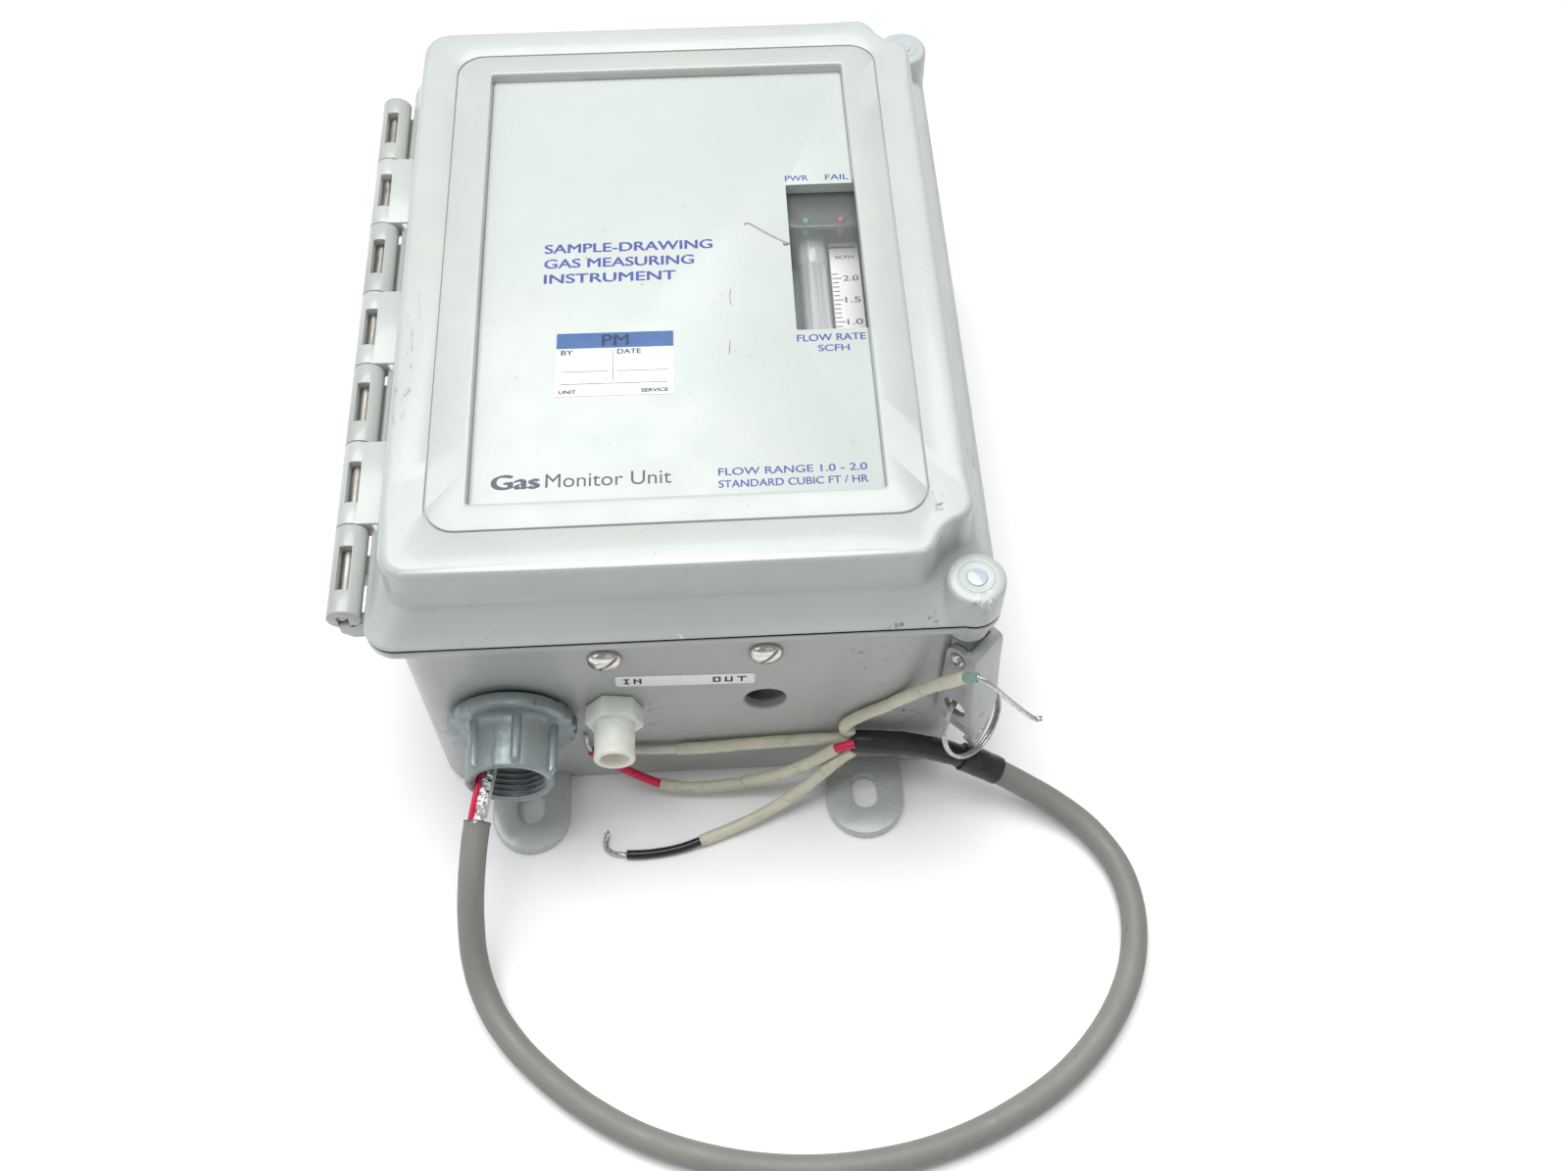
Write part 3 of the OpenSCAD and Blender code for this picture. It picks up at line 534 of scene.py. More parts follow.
WHITE = [(48.5, -109.2, 24.6), (34, -108.8, 24.2), (21, -108.7, 23.4), (8, -108.7, 22.4), (-6, -108.7, 21.6)]
WHITE_TAIL = [(-6, -108.7, 21.6), (-13, -108.6, 21.8), (-20, -108.5, 22.6)]
RED_HEAD = [(48.5, -113.1, 28.8), (45.5, -113.4, 28), (43, -113.5, 26.8)]
RED = [(43, -113.5, 26.8), (36, -114.2, 20), (26, -114.8, 13), (15, -114.8, 8.4), (5, -114.6, 5.8),
       (-4, -114, 4.6), (-12, -112.8, 6)]
RED_TAIL = [(-12, -112.8, 6), (-20, -111.2, 11), (-27, -109.6, 17), (-32, -108.4, 22.5)]
RED_STRAND = [(-32, -108.4, 22.5), (-33, -108, 27), (-32.6, -107.8, 32.5)]
BLACK = [(48.5, -113.2, 24.6), (42.5, -115.4, 20.6), (35, -118.6, 13.6), (26, -122, 7.4), (13, -127, 3.6),
         (0, -131.4, 2.4)]
BLACK_TAIL = [(0, -131.4, 2.4), (-5.5, -133, 1.8), (-11, -134, 1.6), (-17, -134.5, 1.6), (-22.8, -134.4, 1.6)]
BLACK_STRAND = [(-22.8, -134.4, 1.6), (-27, -133.6, 1.4), (-29.4, -131.2, 1.6), (-28.6, -126.6, 3)]


def jacket_mat():
    m = Nodes("cable_vinyl", (0.20, 0.203, 0.182), 0.48, spec=0.4)
    base = m.layer((0.20, 0.203, 0.182), (0.235, 0.235, 0.21), (30, 4), 0.3, 0.7)
    base = m.layer(base, (0.07, 0.068, 0.06), (420, 4, 0.7), 0.62, 0.74, 0.0, 0.4)
    base = m.layer(base, (0.34, 0.33, 0.31), (260, 3, 0.6), 0.66, 0.72, 0.0, 0.35)
    m.paint(base)
    m.rough((160, 4), 0.42, 0.62)
    m.bump((55, 2), 0.35, 0.5)
    m.bump((1500, 2), 0.25, 0.05)
    return m.mat


VINYL = jacket_mat()
MARKER = plain("marker_sleeve", (0.66, 0.64, 0.50), 0.42, 0.16, 90, 0.2, dirt=(0.30, 0.27, 0.19))
RED_PVC = plain("red_insulation", (0.72, 0.02, 0.09), 0.3, 0.2, 200)
CLEAR_PVC = plain("natural_insulation", (0.62, 0.62, 0.56), 0.3, 0.1, 200)
BLACK_PVC = plain("black_insulation", (0.012, 0.012, 0.014), 0.28, 0.3, 200)
GREEN_PVC = plain("green_insulation", (0.22, 0.36, 0.27), 0.35, 0.2, 200)
SHRINK = plain("black_heat_shrink", (0.034, 0.035, 0.040), 0.30, 0.4, 160, 0.3, spec=0.4)
STRAND = metal("tarnished_tinned_copper", (0.70, 0.68, 0.65), 0.30, (0.20, 0.15, 0.10), 0.5, scale=900)


def strands(name, route, count, spread, turns, fray=0.25, wire=0.26):
    """Bare stranded end: thin wires laid round the route, fraying towards the tip."""
    points = route_points(route, 8)
    fr = frames(points)
    n = len(fr)
    parts = []
    for k in range(count):
        path = []
        own = random.uniform(-0.5, 0.5)
        for i, (p, a, b) in enumerate(fr):
            t = i / (n - 1)
            ang = 2 * pi * (k / (count - 1) + turns * t) + own * t
            r = 0 if k == 0 else spread * (1 + fray * t * t * (1 + 0.8 * own))
            path.append(p + (a * cos(ang) + b * sin(ang)) * r)
        parts.append(sweep(path[:n - random.randint(0, 2)], wire, 6))
    return piece(name, *merge(*parts), "base", STRAND, 60)


def conductor(name, routes, mat):
    """One conductor as a single curve along its routes."""
    route = [p for k, r in enumerate(routes) for p in (r if k == 0 else r[1:])]
    obj, points = curve(name, route, WIRE_D, mat)
    [c * MM for c in route[0]]
    return obj


def tube_piece(name, route, diameter, mat, sides=20, steps=10, wobble=0.0, seed=0.0):
    """Sleeve, hose or lead as a mesh tube: slightly uneven, and drawn in a little at its very ends."""
    points = route_points(route, steps)
    total = length_of(points)

    def radius(t, angle):
        s = t * total
        end = min(s, total - s)
        r = diameter / 2 * (1 - 0.2 * max(0.0, 1 - end / 0.5) ** 2)
        return r * (1 + wobble * noise.noise(Vector((s * 0.35 + seed, cos(angle) * 0.8, sin(angle) * 0.8))))
    return piece(name, *sweep(points, radius, sides), "base", mat, 45)


def build_cords():
    slack = 0.16    # keeps the round curve inside the CAD's faceted tube
    jacket, points = curve("cable_jacket_run", CABLE, CABLE_D - slack, VINYL)
    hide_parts("cable_jacket")
    short = tube_piece("sleeve_short_shrink", SHORT, 8.9, SHRINK, wobble=0.05, seed=3)
    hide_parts("sleeve_short")
    long = tube_piece("sleeve_long_shrink", LONG, 7.2, SHRINK, wobble=0.07, seed=9)
    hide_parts("sleeve_long")

    markers = [tube_piece("marker_sleeve_%s" % key, route, 3.8, MARKER, wobble=0.10, seed=k * 5.0)
               for k, (key, route) in enumerate((("green", GREEN), ("white", WHITE), ("red", RED),
                                                 ("black", BLACK)))]
    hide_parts("marker_sleeves")
    ends = [strands("strand_green", GREEN_STRAND, 8, 0.46, 3.0, 0.5),
            strands("strand_red", RED_STRAND, 7, 0.44, 1.6),
            strands("strand_black", BLACK_STRAND, 7, 0.48, 1.2, 0.6)]
    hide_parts("bare_strands")
    green = conductor("conductor_green", [GREEN, GREEN_TAIL], GREEN_PVC)
    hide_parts("wire_tails")
    conductor("conductor_white", [WHITE, WHITE_TAIL], CLEAR_PVC)
    conductor("conductor_red", [RED_HEAD, RED, RED_TAIL], RED_PVC)
    conductor("conductor_black", [BLACK, BLACK_TAIL], BLACK_PVC)


def build_core():
    """Stripped end of the cable in the hub: crumpled foil screen with the conductors beside it."""
    foil_mat = metal("foil_screen", (0.90, 0.90, 0.92), 0.30, (0.35, 0.36, 0.38), 0.35, scale=600, bump=0.4)
    points = route_points(CORE, 16)
    total = length_of(points)

    def crumple(t, angle):
        s = t * total
        v = Vector((s * 0.9, cos(angle) * 1.4, sin(angle) * 1.4))
        return 1.75 * (1 + 0.28 * noise.noise(v) + 0.16 * noise.noise(v * 2.7))
    foil = piece("foil_screen_wrap", *sweep(points, crumple, 22), "base", foil_mat, 25)
    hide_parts("cable_core")
    for key, off, mat in (("red", (-2.0, -0.5, 0.9), RED_PVC), ("black", (0.3, 1.0, -1.7), BLACK_PVC),
                          ("natural", (1.6, 0.6, -0.9), CLEAR_PVC)):
        route = [p + Vector(off) for p in points][::6]
        piece("core_conductor_" + key, *sweep(route_points(route, 4), 0.85, 12), "base", mat, 60)
    lip = route_points([CABLE[0], CABLE[1]], 2)
    rim = lathe([(4.02, -0.5), (4.02, -0.05), (3.9, 0.1), (3.3, 0.1), (3.1, -0.6)], 40)
    d = (lip[-1] - lip[0]).normalized()
    place = (Matrix.Translation(lip[0]) @ d.to_track_quat("Z", "Y").to_matrix().to_4x4()
             @ Matrix.Scale(-1, 4, (0, 0, 1)))
    piece("jacket_cut_end", *moved(rim, place), "base", VINYL)


build_cords()
build_core()


# ---------------------------------------------------------------- enclosure outlines

def rim_outline(inset, n=24):
    hx, hy, r, q = RIM_W / 2 - inset, RIM_L / 2 - inset, 9 - inset, BOSS_R + 0.2 - inset
    return (arc(hx - q, hy - q, q, 0, 90, n) + arc(-hx + r, hy - r, r, 90, 180, n)
            + arc(-hx + r, -hy + r, r, 180, 270, n) + arc(hx - q, -hy + q, q, 270, 360, n))


def raised_outline(inset, n=10):
    """Raised part of the lid, with a scoop round each boss of the latch side."""
    hx, hy, r, q, s = RAISED_W / 2 - inset, RAISED_L / 2 - inset, 9 - inset, 7 - inset, SCOOP_R + inset
    by = -BOSS[1]
    c1y = by - sqrt((s + q) ** 2 - (BOSS[0] - hx + q) ** 2)
    c2x = BOSS[0] - sqrt((s + q) ** 2 - (by - hy + q) ** 2)
    a1 = degrees(atan2(by - c1y, BOSS[0] - hx + q))
    a2 = degrees(atan2(by - hy + q, BOSS[0] - c2x))
    c = (arc(hx - q, c1y, q, 0, a1, n) + arc(BOSS[0], by, s, a1 - 180, a2 - 180, n + 6)
         + arc(c2x, hy - q, q, a2, 90, n))
    return (c + arc(-hx + r, hy - r, r, 90, 180, n) + arc(-hx + r, -hy + r, r, 180, 270, n)
            + [(x, -y) for x, y in reversed(c)])


def polar(outline, angles):
    """Distance from the origin to a star-shaped outline in each direction."""
    pts = sorted((atan2(y, x) % (2 * pi), hypot(x, y)) for x, y in outline)
    pts = [(pts[-1][0] - 2 * pi, pts[-1][1])] + pts + [(pts[0][0] + 2 * pi, pts[0][1])]
    out, k = [], 0
    for a in angles:
        while pts[k + 1][0] < a:
            k += 1
        (a0, r0), (a1, r1) = pts[k], pts[k + 1]
        if a1 - a0 < 1e-9:
            out.append(r1)
            continue
        x0, y0, x1, y1 = r0 * cos(a0), r0 * sin(a0), r1 * cos(a1), r1 * sin(a1)
        dx, dy = cos(a), sin(a)
        den = dx * (y1 - y0) - dy * (x1 - x0)
        out.append((x0 * (y1 - y0) - y0 * (x1 - x0)) / den if abs(den) > 1e-9 else r1)
    return out


def shared_angles(*outlines, gap=0.0035):
    every = sorted(atan2(y, x) % (2 * pi) for o in outlines for x, y in o)
    every += [every[0] + 2 * pi]
    out = []
    for a, b in zip(every, every[1:]):
        if not out or a - out[-1] > gap:
            out.append(a)
        k = int((b - a) / 0.045)
        out += [a + (b - a) * (i + 1) / (k + 1) for i in range(k)]
    return out


def ring_at(radii, angles, z):
    zs = z if isinstance(z, list) else [z] * len(angles)
    return [(r * cos(a), r * sin(a), h) for r, a, h in zip(radii, angles, zs)]


def smoothstep(t):
    t = min(1.0, max(0.0, t))
    return t * t * (3 - 2 * t)


def mixed(a, b, t):
    ts = t if isinstance(t, list) else [t] * len(a)
    return [x + (y - x) * k for x, y, k in zip(a, b, ts)]


# ---------------------------------------------------------------- the lid

LID_COLOUR = (0.475, 0.508, 0.487)
LID_SCUFFS = [((62, -112, 98), (14, 4, 3)), ((84, -60, 104), (4, 30, 9)), ((70, -88, 121), (5, 9, 2)),
              ((-74, -40, 119), (4, 60, 4)), ((78, 92, 112), (8, 14, 8)),
              ((BOSS[0], BOSS[1] - 7, 105), (8, 5, 6))]
LID_CHIPS = [((BOSS[0] + 2, BOSS[1] - 6.5, 106.5), (6, 3.4, 3.4)), ((-2, -112, 96.4), (3, 2.5, 1.2)),
             ((78, 20, 117), (2, 40, 2))]
# painted highlight along the lid's front top edge, mixed into the colour as a pale band
FRONT_EDGE_PAINTED_HIGHLIGHT = [((-4, -102.9, 120.5), (76, 1.0, 0.9))]


def edge_keep(ang, radii):
    """How much of the top edge's rounding is kept: little at the scoops, about half elsewhere."""
    keep = []
    for a, r in zip(ang, radii):
        x, y = r * cos(a), r * sin(a)
        d = hypot(x - BOSS[0], abs(y) + BOSS[1])
        side = 0.4 if x < -70 and abs(y) < 92 else 0.52
        keep.append(0.3 + (side - 0.3) * smoothstep((d - 12.5) / 15))
    return keep


def lid_rings():
    """The lid's outside, from its bottom edge up and in to the recess, and its underside back out."""
    rim, raised = rim_outline(0), raised_outline(0)
    groove, recess = rounded(66.5, 91.6, 8.4), rounded(55.5, 82.6, 0.8)
    ang = shared_angles(rim, raised, raised_outline(WALL), raised_outline(EDGE_R), groove, recess)

    def at(outline):
        return polar(outline, ang)

    def inset_rings(radii, *table):
        return [ring_at([r - inset for r in radii], ang, z) for inset, z in table]

    keep = edge_keep(ang, at(raised))
    rings = [ring_at(at(rim_outline(inset)), ang, z) for inset, z in (
        (1.2, LID_Z), (0.3, LID_Z + 0.35), (0, LID_Z + 0.9), (0.12, BAND_Z - 0.6), (0.5, BAND_Z - 0.1),
        (1.1, BAND_Z + 0.35))]
    start, inner = at(rim_outline(1.1)), at(raised_outline(-1.6))
    low, high = BAND_Z + 0.35, STEP_Z - 0.75
    rings += [ring_at(mixed(start, inner, t), ang, low + (high - low) * t) for t in (0.3, 0.6, 0.88)]
    rings += [ring_at(at(raised_outline(inset)), ang, STEP_Z + z) for inset, z in (
        (-1.6, -0.75), (-0.85, -0.15), (-0.3, 0.5), (-0.05, 1.4), (0.15, 4))]
    base, soft = at(raised_outline(0.45)), at(raised_outline(EDGE_R))
    for i in range(9):
        a = radians(i * 90 / 8)
        part = [(1 - cos(a)) * k for k in keep]
        heights = [TOP - EDGE_R * k + EDGE_R * k * sin(a) for k in keep]
        rings.append(ring_at(mixed(base, soft, part), ang, heights))
    rings += inset_rings(mixed(base, soft, keep), (0.5, TOP))
    rings += inset_rings(at(groove), (-0.3, TOP), (0, TOP - 0.15), (0.15, TOP - 0.9), (0.5, TOP - 0.95),
                         (0.7, TOP - 0.15), (1, TOP))
    floor = at(recess)
    rings += inset_rings(floor, (-1.6, TOP), (-0.9, TOP), (-0.35, TOP - 0.12), (-0.05, TOP - 0.5),
                         (0, TOP - 1.2), (0, FLOOR_Z + 0.2), (0.15, FLOOR_Z))
    rings.append(ring_at([r * 0.5 for r in floor], ang, FLOOR_Z))
    cavity = at(raised_outline(WALL))
    under = [ring_at([r * 0.5 for r in floor], ang, CEIL_Z)]
    under += inset_rings(cavity, (2, CEIL_Z), (0.6, CEIL_Z - 0.4), (0, CEIL_Z - 1.8), (0, LID_Z))
    # the gasket's channel
    far = [max(a, b + 1.4) for a, b in zip(at(rounded(RIM_W / 2 - 4.4, RIM_L / 2 - 4.9, 6)), cavity)]
    near = [max(a, b + 0.5) for a, b in zip(at(rounded(RIM_W / 2 - 7.4, RIM_L / 2 - 7.9, 4)), cavity)]
    deep = LID_Z + 2.4
    under += [ring_at(r, ang, z) for r, z in ((near, LID_Z), (near, deep), (far, deep), (far, LID_Z))]
    return rings, under


def lid_mesh():
    """The rings joined, with the recess floor and the ceiling as separate caps."""
    rings, under = lid_rings()
    verts, faces = loft(rings + under, False, False)
    n, last, k = len(rings[0]), len(rings) + len(under) - 1, len(rings) - 1
    faces = [face for face in faces if not (face[0] // n == k and face[2] // n == k + 1)]
    faces += [(last * n + i, last * n + (i + 1) % n, (i + 1) % n, i) for i in range(n)]
    faces += [tuple(range(k * n, (k + 1) * n)), tuple(range((k + 1) * n, (k + 2) * n))[::-1]]
    return verts, faces


def build_lid():
    mat = moulded("lid_fibreglass_painted_highlight", LID_COLOUR, 0.36, LID_SCUFFS, LID_CHIPS, painted_highlight=FRONT_EDGE_PAINTED_HIGHLIGHT)
    shell = piece("lid_shell", *lid_mesh(), None, mat)
    combine(shell, [cutter(block(*WIN_X, *WIN_Y, CEIL_Z - 1, TOP - 0.9))])
    parts = []
    for s in (1, -1):
        boss = piece("boss", *corner_boss(s), None, mat)
        bore = lathe([(2.8, LID_Z + 10), (2.8, TOP)], 32)
        parts.append(combine(boss, [cutter(shifted(bore, BOSS[0], s * BOSS[1]))]))
    parts += [lid_knuckle(k, mat) for k in (1, 3, 5)]
    join(shell, parts)
    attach(shell, "lid")
    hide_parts("lid")
    for s, key in ((1, "front"), (-1, "rear")):
        plug = Nodes("plug_resin_" + key, (0.55, 0.68, 0.86), 0.08, Transmission_Weight=0.35, IOR=1.5)
        plug.paint(plug.layer((0.60, 0.70, 0.82), (0.70, 0.78, 0.87), (500, 3), 0.35, 0.7))
        shape = lathe([(2.75, LID_Z + 10.1), (2.75, LID_Z + 13.0), (2.6, LID_Z + 13.25), (1.7, LID_Z + 13.38),
                       (0.5, LID_Z + 13.4)], 40)
        cap = piece("boss_plug_%s_resin" % key, *shifted(shape, BOSS[0], s * BOSS[1]), "lid", plug.mat)
        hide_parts("boss_plug_" + key)


def corner_boss(s):
    """Latch boss: slightly tapered, with a flared foot on the sides that face the lid."""
    profile = [(CAP_R - d, LID_Z + z) for d, z in (
        (1.2, 0.0), (0.3, 0.35), (0, 0.9), (0, 2.4), (0.04, 5), (0.1, 8), (0.16, 11.2), (0.28, 12.1),
        (0.6, 12.65), (1.2, 12.93), (2.6, 13.0), (3.0, 12.98), (3.2, 12.82), (3.45, 12.82), (3.6, 13.0),
        (5.1, 13.0), (5.8, 12.9))]
    n = 72
    rings = []
    for r, z in profile:
        ring = []
        for i in range(n):
            a = 2 * pi * i / n
            toward = max(0.0, cos(a - radians(162)))
            foot = 3.4 * toward * smoothstep((LID_Z + 8.5 - z) / 8.5) if r > 7 else 0.0
            ring.append((BOSS[0] + (r + foot) * cos(a), s * (BOSS[1] + (r + foot) * sin(a)), z))
        rings.append(ring)
    return loft(rings)


def join(obj, others):
    """Adds the other meshes to the first one's mesh."""
    bm = bmesh.new()
    bm.from_mesh(obj.data)
    for other in others:
        bm.from_mesh(other.data)
    bm.to_mesh(obj.data)
    bm.free()
    for other in others:
        drop(other)
    return obj


# ---------------------------------------------------------------- the hinge and the gasket

SLOT_HALF = (1.8, 7)        # pin slot seen from above
CHANNEL_HALF = (1.5, 4.6)   # channel under each joint between knuckles
LID_WALL_X = -83.4          # where the lid's knuckles meet its rim


def knuckle_span(k):
    """Lowest and highest y of a knuckle, counted from the far end, with a gap to its neighbours."""
    high = HINGE_Y + KNUCKLE * (3.5 - k)
    return high - KNUCKLE + 0.2, high - 0.2


def knuckle_body(low, high, flat, mat):
    """Barrel, round or with its inner side run flat to x = flat, with the slot and the end channels cut."""
    if flat is None:
        outline = [(x if x < HINGE_X else HINGE_X + (x - HINGE_X) * 1.15, z)
                   for x, z in arc(HINGE_X, HINGE_Z, BARREL_R, 0, 352.5, 47)]
    else:
        outline = arc(HINGE_X, HINGE_Z, BARREL_R, 180, 62, 12)
        outline += [(flat, HINGE_Z + BARREL_R - 0.62), (flat, HINGE_Z - 1.6),
                    (HINGE_X + BARREL_R * 0.72, HINGE_Z - 3.1)]
        outline += arc(HINGE_X, HINGE_Z, BARREL_R, 262, 180, 8)[:-1]
    obj = piece("knuckle", *prism(outline, low, high, "xz"), None, mat)
    mid = (low + high) / 2
    dx, dy = SLOT_HALF
    cuts = [cutter(block(HINGE_X - dx, HINGE_X + dx, mid - dy, mid + dy, HINGE_Z - 1.9, HINGE_Z + 9))]
    dx, dy = CHANNEL_HALF
    bore = arc(HINGE_X, HINGE_Z, PIN_R + 0.1, 0, 345, 23)
    for s in (-1, 1):
        end = mid + s * KNUCKLE / 2
        cuts.append(cutter(block(HINGE_X - dx, HINGE_X + dx, end - dy, end + dy, HINGE_Z - 8, HINGE_Z - 0.2)))
        cuts.append(cutter(prism(bore, *sorted((end - s * 15, end + s * 5)), "xz")))
    combine(obj, cuts)
    return soften(obj, 0.32, 2)


def lid_knuckle(k, mat):
    """Knuckle of the lid, with the gusset beside it."""
    low, high = knuckle_span(k)
    obj = knuckle_body(low, high, LID_WALL_X, mat)
    web = [(-87.6, low + 3.6), (-84.2, low - 2.4), (-82.8, low - 2.4), (-82.8, low + 3.6)]
    gusset = piece("gusset", *prism(web, LID_Z + 0.3, HINGE_Z + BARREL_R - 1.2), None, mat)
    return join(obj, [soften(gusset, 0.25, 1)])


def build_gasket():
    """Foam seal of the lid, with a thin black edge run out to the rim in the seam: the foam is real, and the
    part that reaches the seam is painted shade standing for the seam's dark shadow line.
    """
    foam = plain("gasket_foam", (0.010, 0.010, 0.011), 0.8, 0.3, 300, 0.3, spec=0.2)
    outer, inner = rim_outline(0.3), rounded(RIM_W / 2 - 7.2, RIM_L / 2 - 7.7, 4.2)
    middle, lip = rounded(RIM_W / 2 - 4.6, RIM_L / 2 - 5.1, 5.8), rim_outline(1.6)
    ang = shared_angles(outer, inner, middle, lip)
    # the outer levels lay the black foam out to the rim's edge as painted shade for the seam's shadow line
    levels = ((outer, BASE_H + 0.05), (outer, BASE_H + 0.15), (lip, BASE_H + 0.3), (middle, BASE_H + 0.34),
              (middle, LID_Z + 2.3), (inner, LID_Z + 2.3), (inner, BASE_H + 0.05))
    rings = [ring_at(polar(outline, ang), ang, z) for outline, z in levels]
    seal = piece("lid_gasket_and_seam_shade", *loft(rings + rings[:1], False, False), "lid", foam)
    # painted shade of the seam carried round each latch boss
    seam_shade_ring = lathe([(CAP_R - 0.3, BASE_H + 0.05), (CAP_R - 0.3, BASE_H + 0.15), (CAP_R - 1.6, BASE_H + 0.34)])
    seam_shade_rings = [piece("seam_shade_ring", *shifted(seam_shade_ring, BOSS[0], s * BOSS[1]), None, foam) for s in (1, -1)]
    join(seal, seam_shade_rings)
    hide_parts("lid_gasket")


build_lid()
build_gasket()


# ---------------------------------------------------------------- the base box

BASE_COLOUR = (0.415, 0.436, 0.419)
BASE_SCUFFS = [((0, -107, 88), (70, 3, 7)), ((52, -107, 70), (12, 3, 14)), ((-30, -107, 40), (30, 3, 24)),
               ((64, -104, 40), (16, 6, 30)), ((-78, -100, 30), (10, 14, 30)), ((80, 0, 50), (4, 90, 40)),
               ((-80, 0, 50), (4, 90, 40)), ((0, 107, 50), (70, 3, 40))]
BASE_CHIPS = [((76, -104, 92), (9, 6, 3))]
WALL_HOLES = [(HUB_X, HUB_Z, 10.95), (INLET_X, PORT_Z, 5.05), (OUTLET_X, PORT_Z, OUTLET_R)] \
    + [(x, SCREW_Z, 2.5) for x in SCREW_XS]


def base_mesh():
    body, lip = rounded(BASE_W / 2, BASE_L / 2, 10, 12), rim_outline(0.05)
    ang = shared_angles(body, lip, gap=0.006)
    wall, edge = polar(body, ang), polar(lip, ang)
    cavity = polar(rounded(BASE_W / 2 - WALL, BASE_L / 2 - WALL, 7, 12), ang)
    ledge = [max(x + 1.2, y - 2.4) for x, y in zip(wall, edge)]
    table = ((wall, -1.6, 0), (wall, -0.7, 0.2), (wall, -0.15, 0.8), (wall, 0, 2.0), (wall, 0, 88.0),
             (wall, 0.15, 89.6), (wall, 0.7, 90.6), (ledge, 0, 91.2), (edge, -0.9, 91.7), (edge, -0.2, 92.0),
             (edge, 0, 92.5), (edge, 0, BASE_H - 0.25), (edge, -0.2, BASE_H), (cavity, 0.4, BASE_H),
             (cavity, 0, BASE_H - 0.5), (cavity, 0, 8), (cavity, -0.8, 5.8), (cavity, -3, 5))
    return loft([ring_at([r + d for r in radii], ang, z) for radii, d, z in table])


def base_cuts():
    """Cutters for the front wall's holes, and for the pockets and screw bores of the feet."""
    holes, feet = [], []
    for x, z, r in WALL_HOLES:
        start = [(r + 0.9, 106.9), (r, 106.0)] if r == OUTLET_R else [(r, 108)]
        holes.append(cutter(along_y(lathe(start + [(r, 100)], 48), x, z)))
    for x in (-FOOT_X, FOOT_X):
        for s in (-1, 1):
            y = 80 if s > 0 else -120
            feet.append(cutter(block(x - 12.2, x + 12.2, y, y + 40, -1, 2.6)))
            feet.append(cutter(shifted(lathe([(2.4, -1), (2.4, 19)], 24), x, s * FOOT_SCREW_Y)))
    return holes, feet


def latch_lug(rear, mat):
    outline = [(-8, PIVOT_Z - 4), (PIVOT_U + 0.4, PIVOT_Z - 3.2)] + arc(PIVOT_U, PIVOT_Z, 3.2, -75, 90, 10) \
        + [(-8, PIVOT_Z + 3.4)]
    lug = piece("lug", *moved(prism(outline, -3.6, 3.6, "xz"), at_corner(rear)), None, mat)
    bore = prism(arc(PIVOT_U, PIVOT_Z, PIN_R + 0.05, 0, 345, 23), -8, 8, "xz")
    combine(lug, [cutter(moved(bore, at_corner(rear)))])
    return soften(lug, 0.35, 2)


def corner_neck(s, mat):
    """The base's rim and the neck below it at a latch corner."""
    neck, lip = BOSS_R - 1.1, CAP_R - 0.05
    profile = [(BOSS_R - 4, 82.4), (BOSS_R - 2.2, 83.2), (BOSS_R - 1.15, 84.6), (neck, 85.4), (neck, 91.2),
               (CAP_R - 0.9, 91.7), (CAP_R - 0.2, 92.1), (lip, 92.6), (lip, BASE_H - 0.25),
               (CAP_R - 0.25, BASE_H)]
    return piece("neck", *shifted(lathe(profile, 48), BOSS[0], s * BOSS[1]), None, mat)


def base_knuckle(k, mat):
    """Barrel of the base and the arm that carries it; the nearest one has two short arms."""
    low, high = knuckle_span(k)
    parts = [knuckle_body(low, high, None, mat)]
    start = high - KNUCKLE + 0.4
    spans = [(start, start + (KNUCKLE - 3))]
    if k == 6:
        seam = HINGE_Y - KNUCKLE * 2.5
        spans = [(low, low + 4), (seam - 12, seam - 6)]
    top, bottom, wall_x = BASE_H - 1.8, BASE_H - 9, -79
    side = [(HINGE_X - 2, BASE_H - 2.4), (HINGE_X - 2, BASE_H - 6.4), (HINGE_X + 1, bottom), (wall_x, bottom),
            (wall_x, top), (HINGE_X - 1, top)]
    for y0, y1 in spans:
        parts.append(soften(piece("arm", *prism(side, y0, y1, "xz"), None, mat), 0.5, 2))
    return parts


def build_base():
    mat = moulded("base_fibreglass", BASE_COLOUR, 0.4, BASE_SCUFFS, BASE_CHIPS)
    shell = piece("base_shell", *base_mesh(), None, mat)
    for cuts in base_cuts():
        combine(shell, cuts)
    parts = []
    socket = lathe([(5.5, 4.8), (5.5, 13.6), (5.2, 14), (2.8, 14), (2.4, 13.7), (2.4, 4.8)], 32, (False, False))
    for x in (-FOOT_X, FOOT_X):
        for y in (-FOOT_SCREW_Y, FOOT_SCREW_Y):
            parts.append(piece("boss", *shifted(socket, x, y), None, mat))
    for rear in (False, True):
        parts += [latch_lug(rear, mat), corner_neck(-1 if rear else 1, mat)]
    for k in (0, 2, 4, 6):
        parts += base_knuckle(k, mat)
    join(shell, parts)
    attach(shell, "base")
    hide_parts("base_box")


build_base()


# ---------------------------------------------------------------- hinge and latch metal

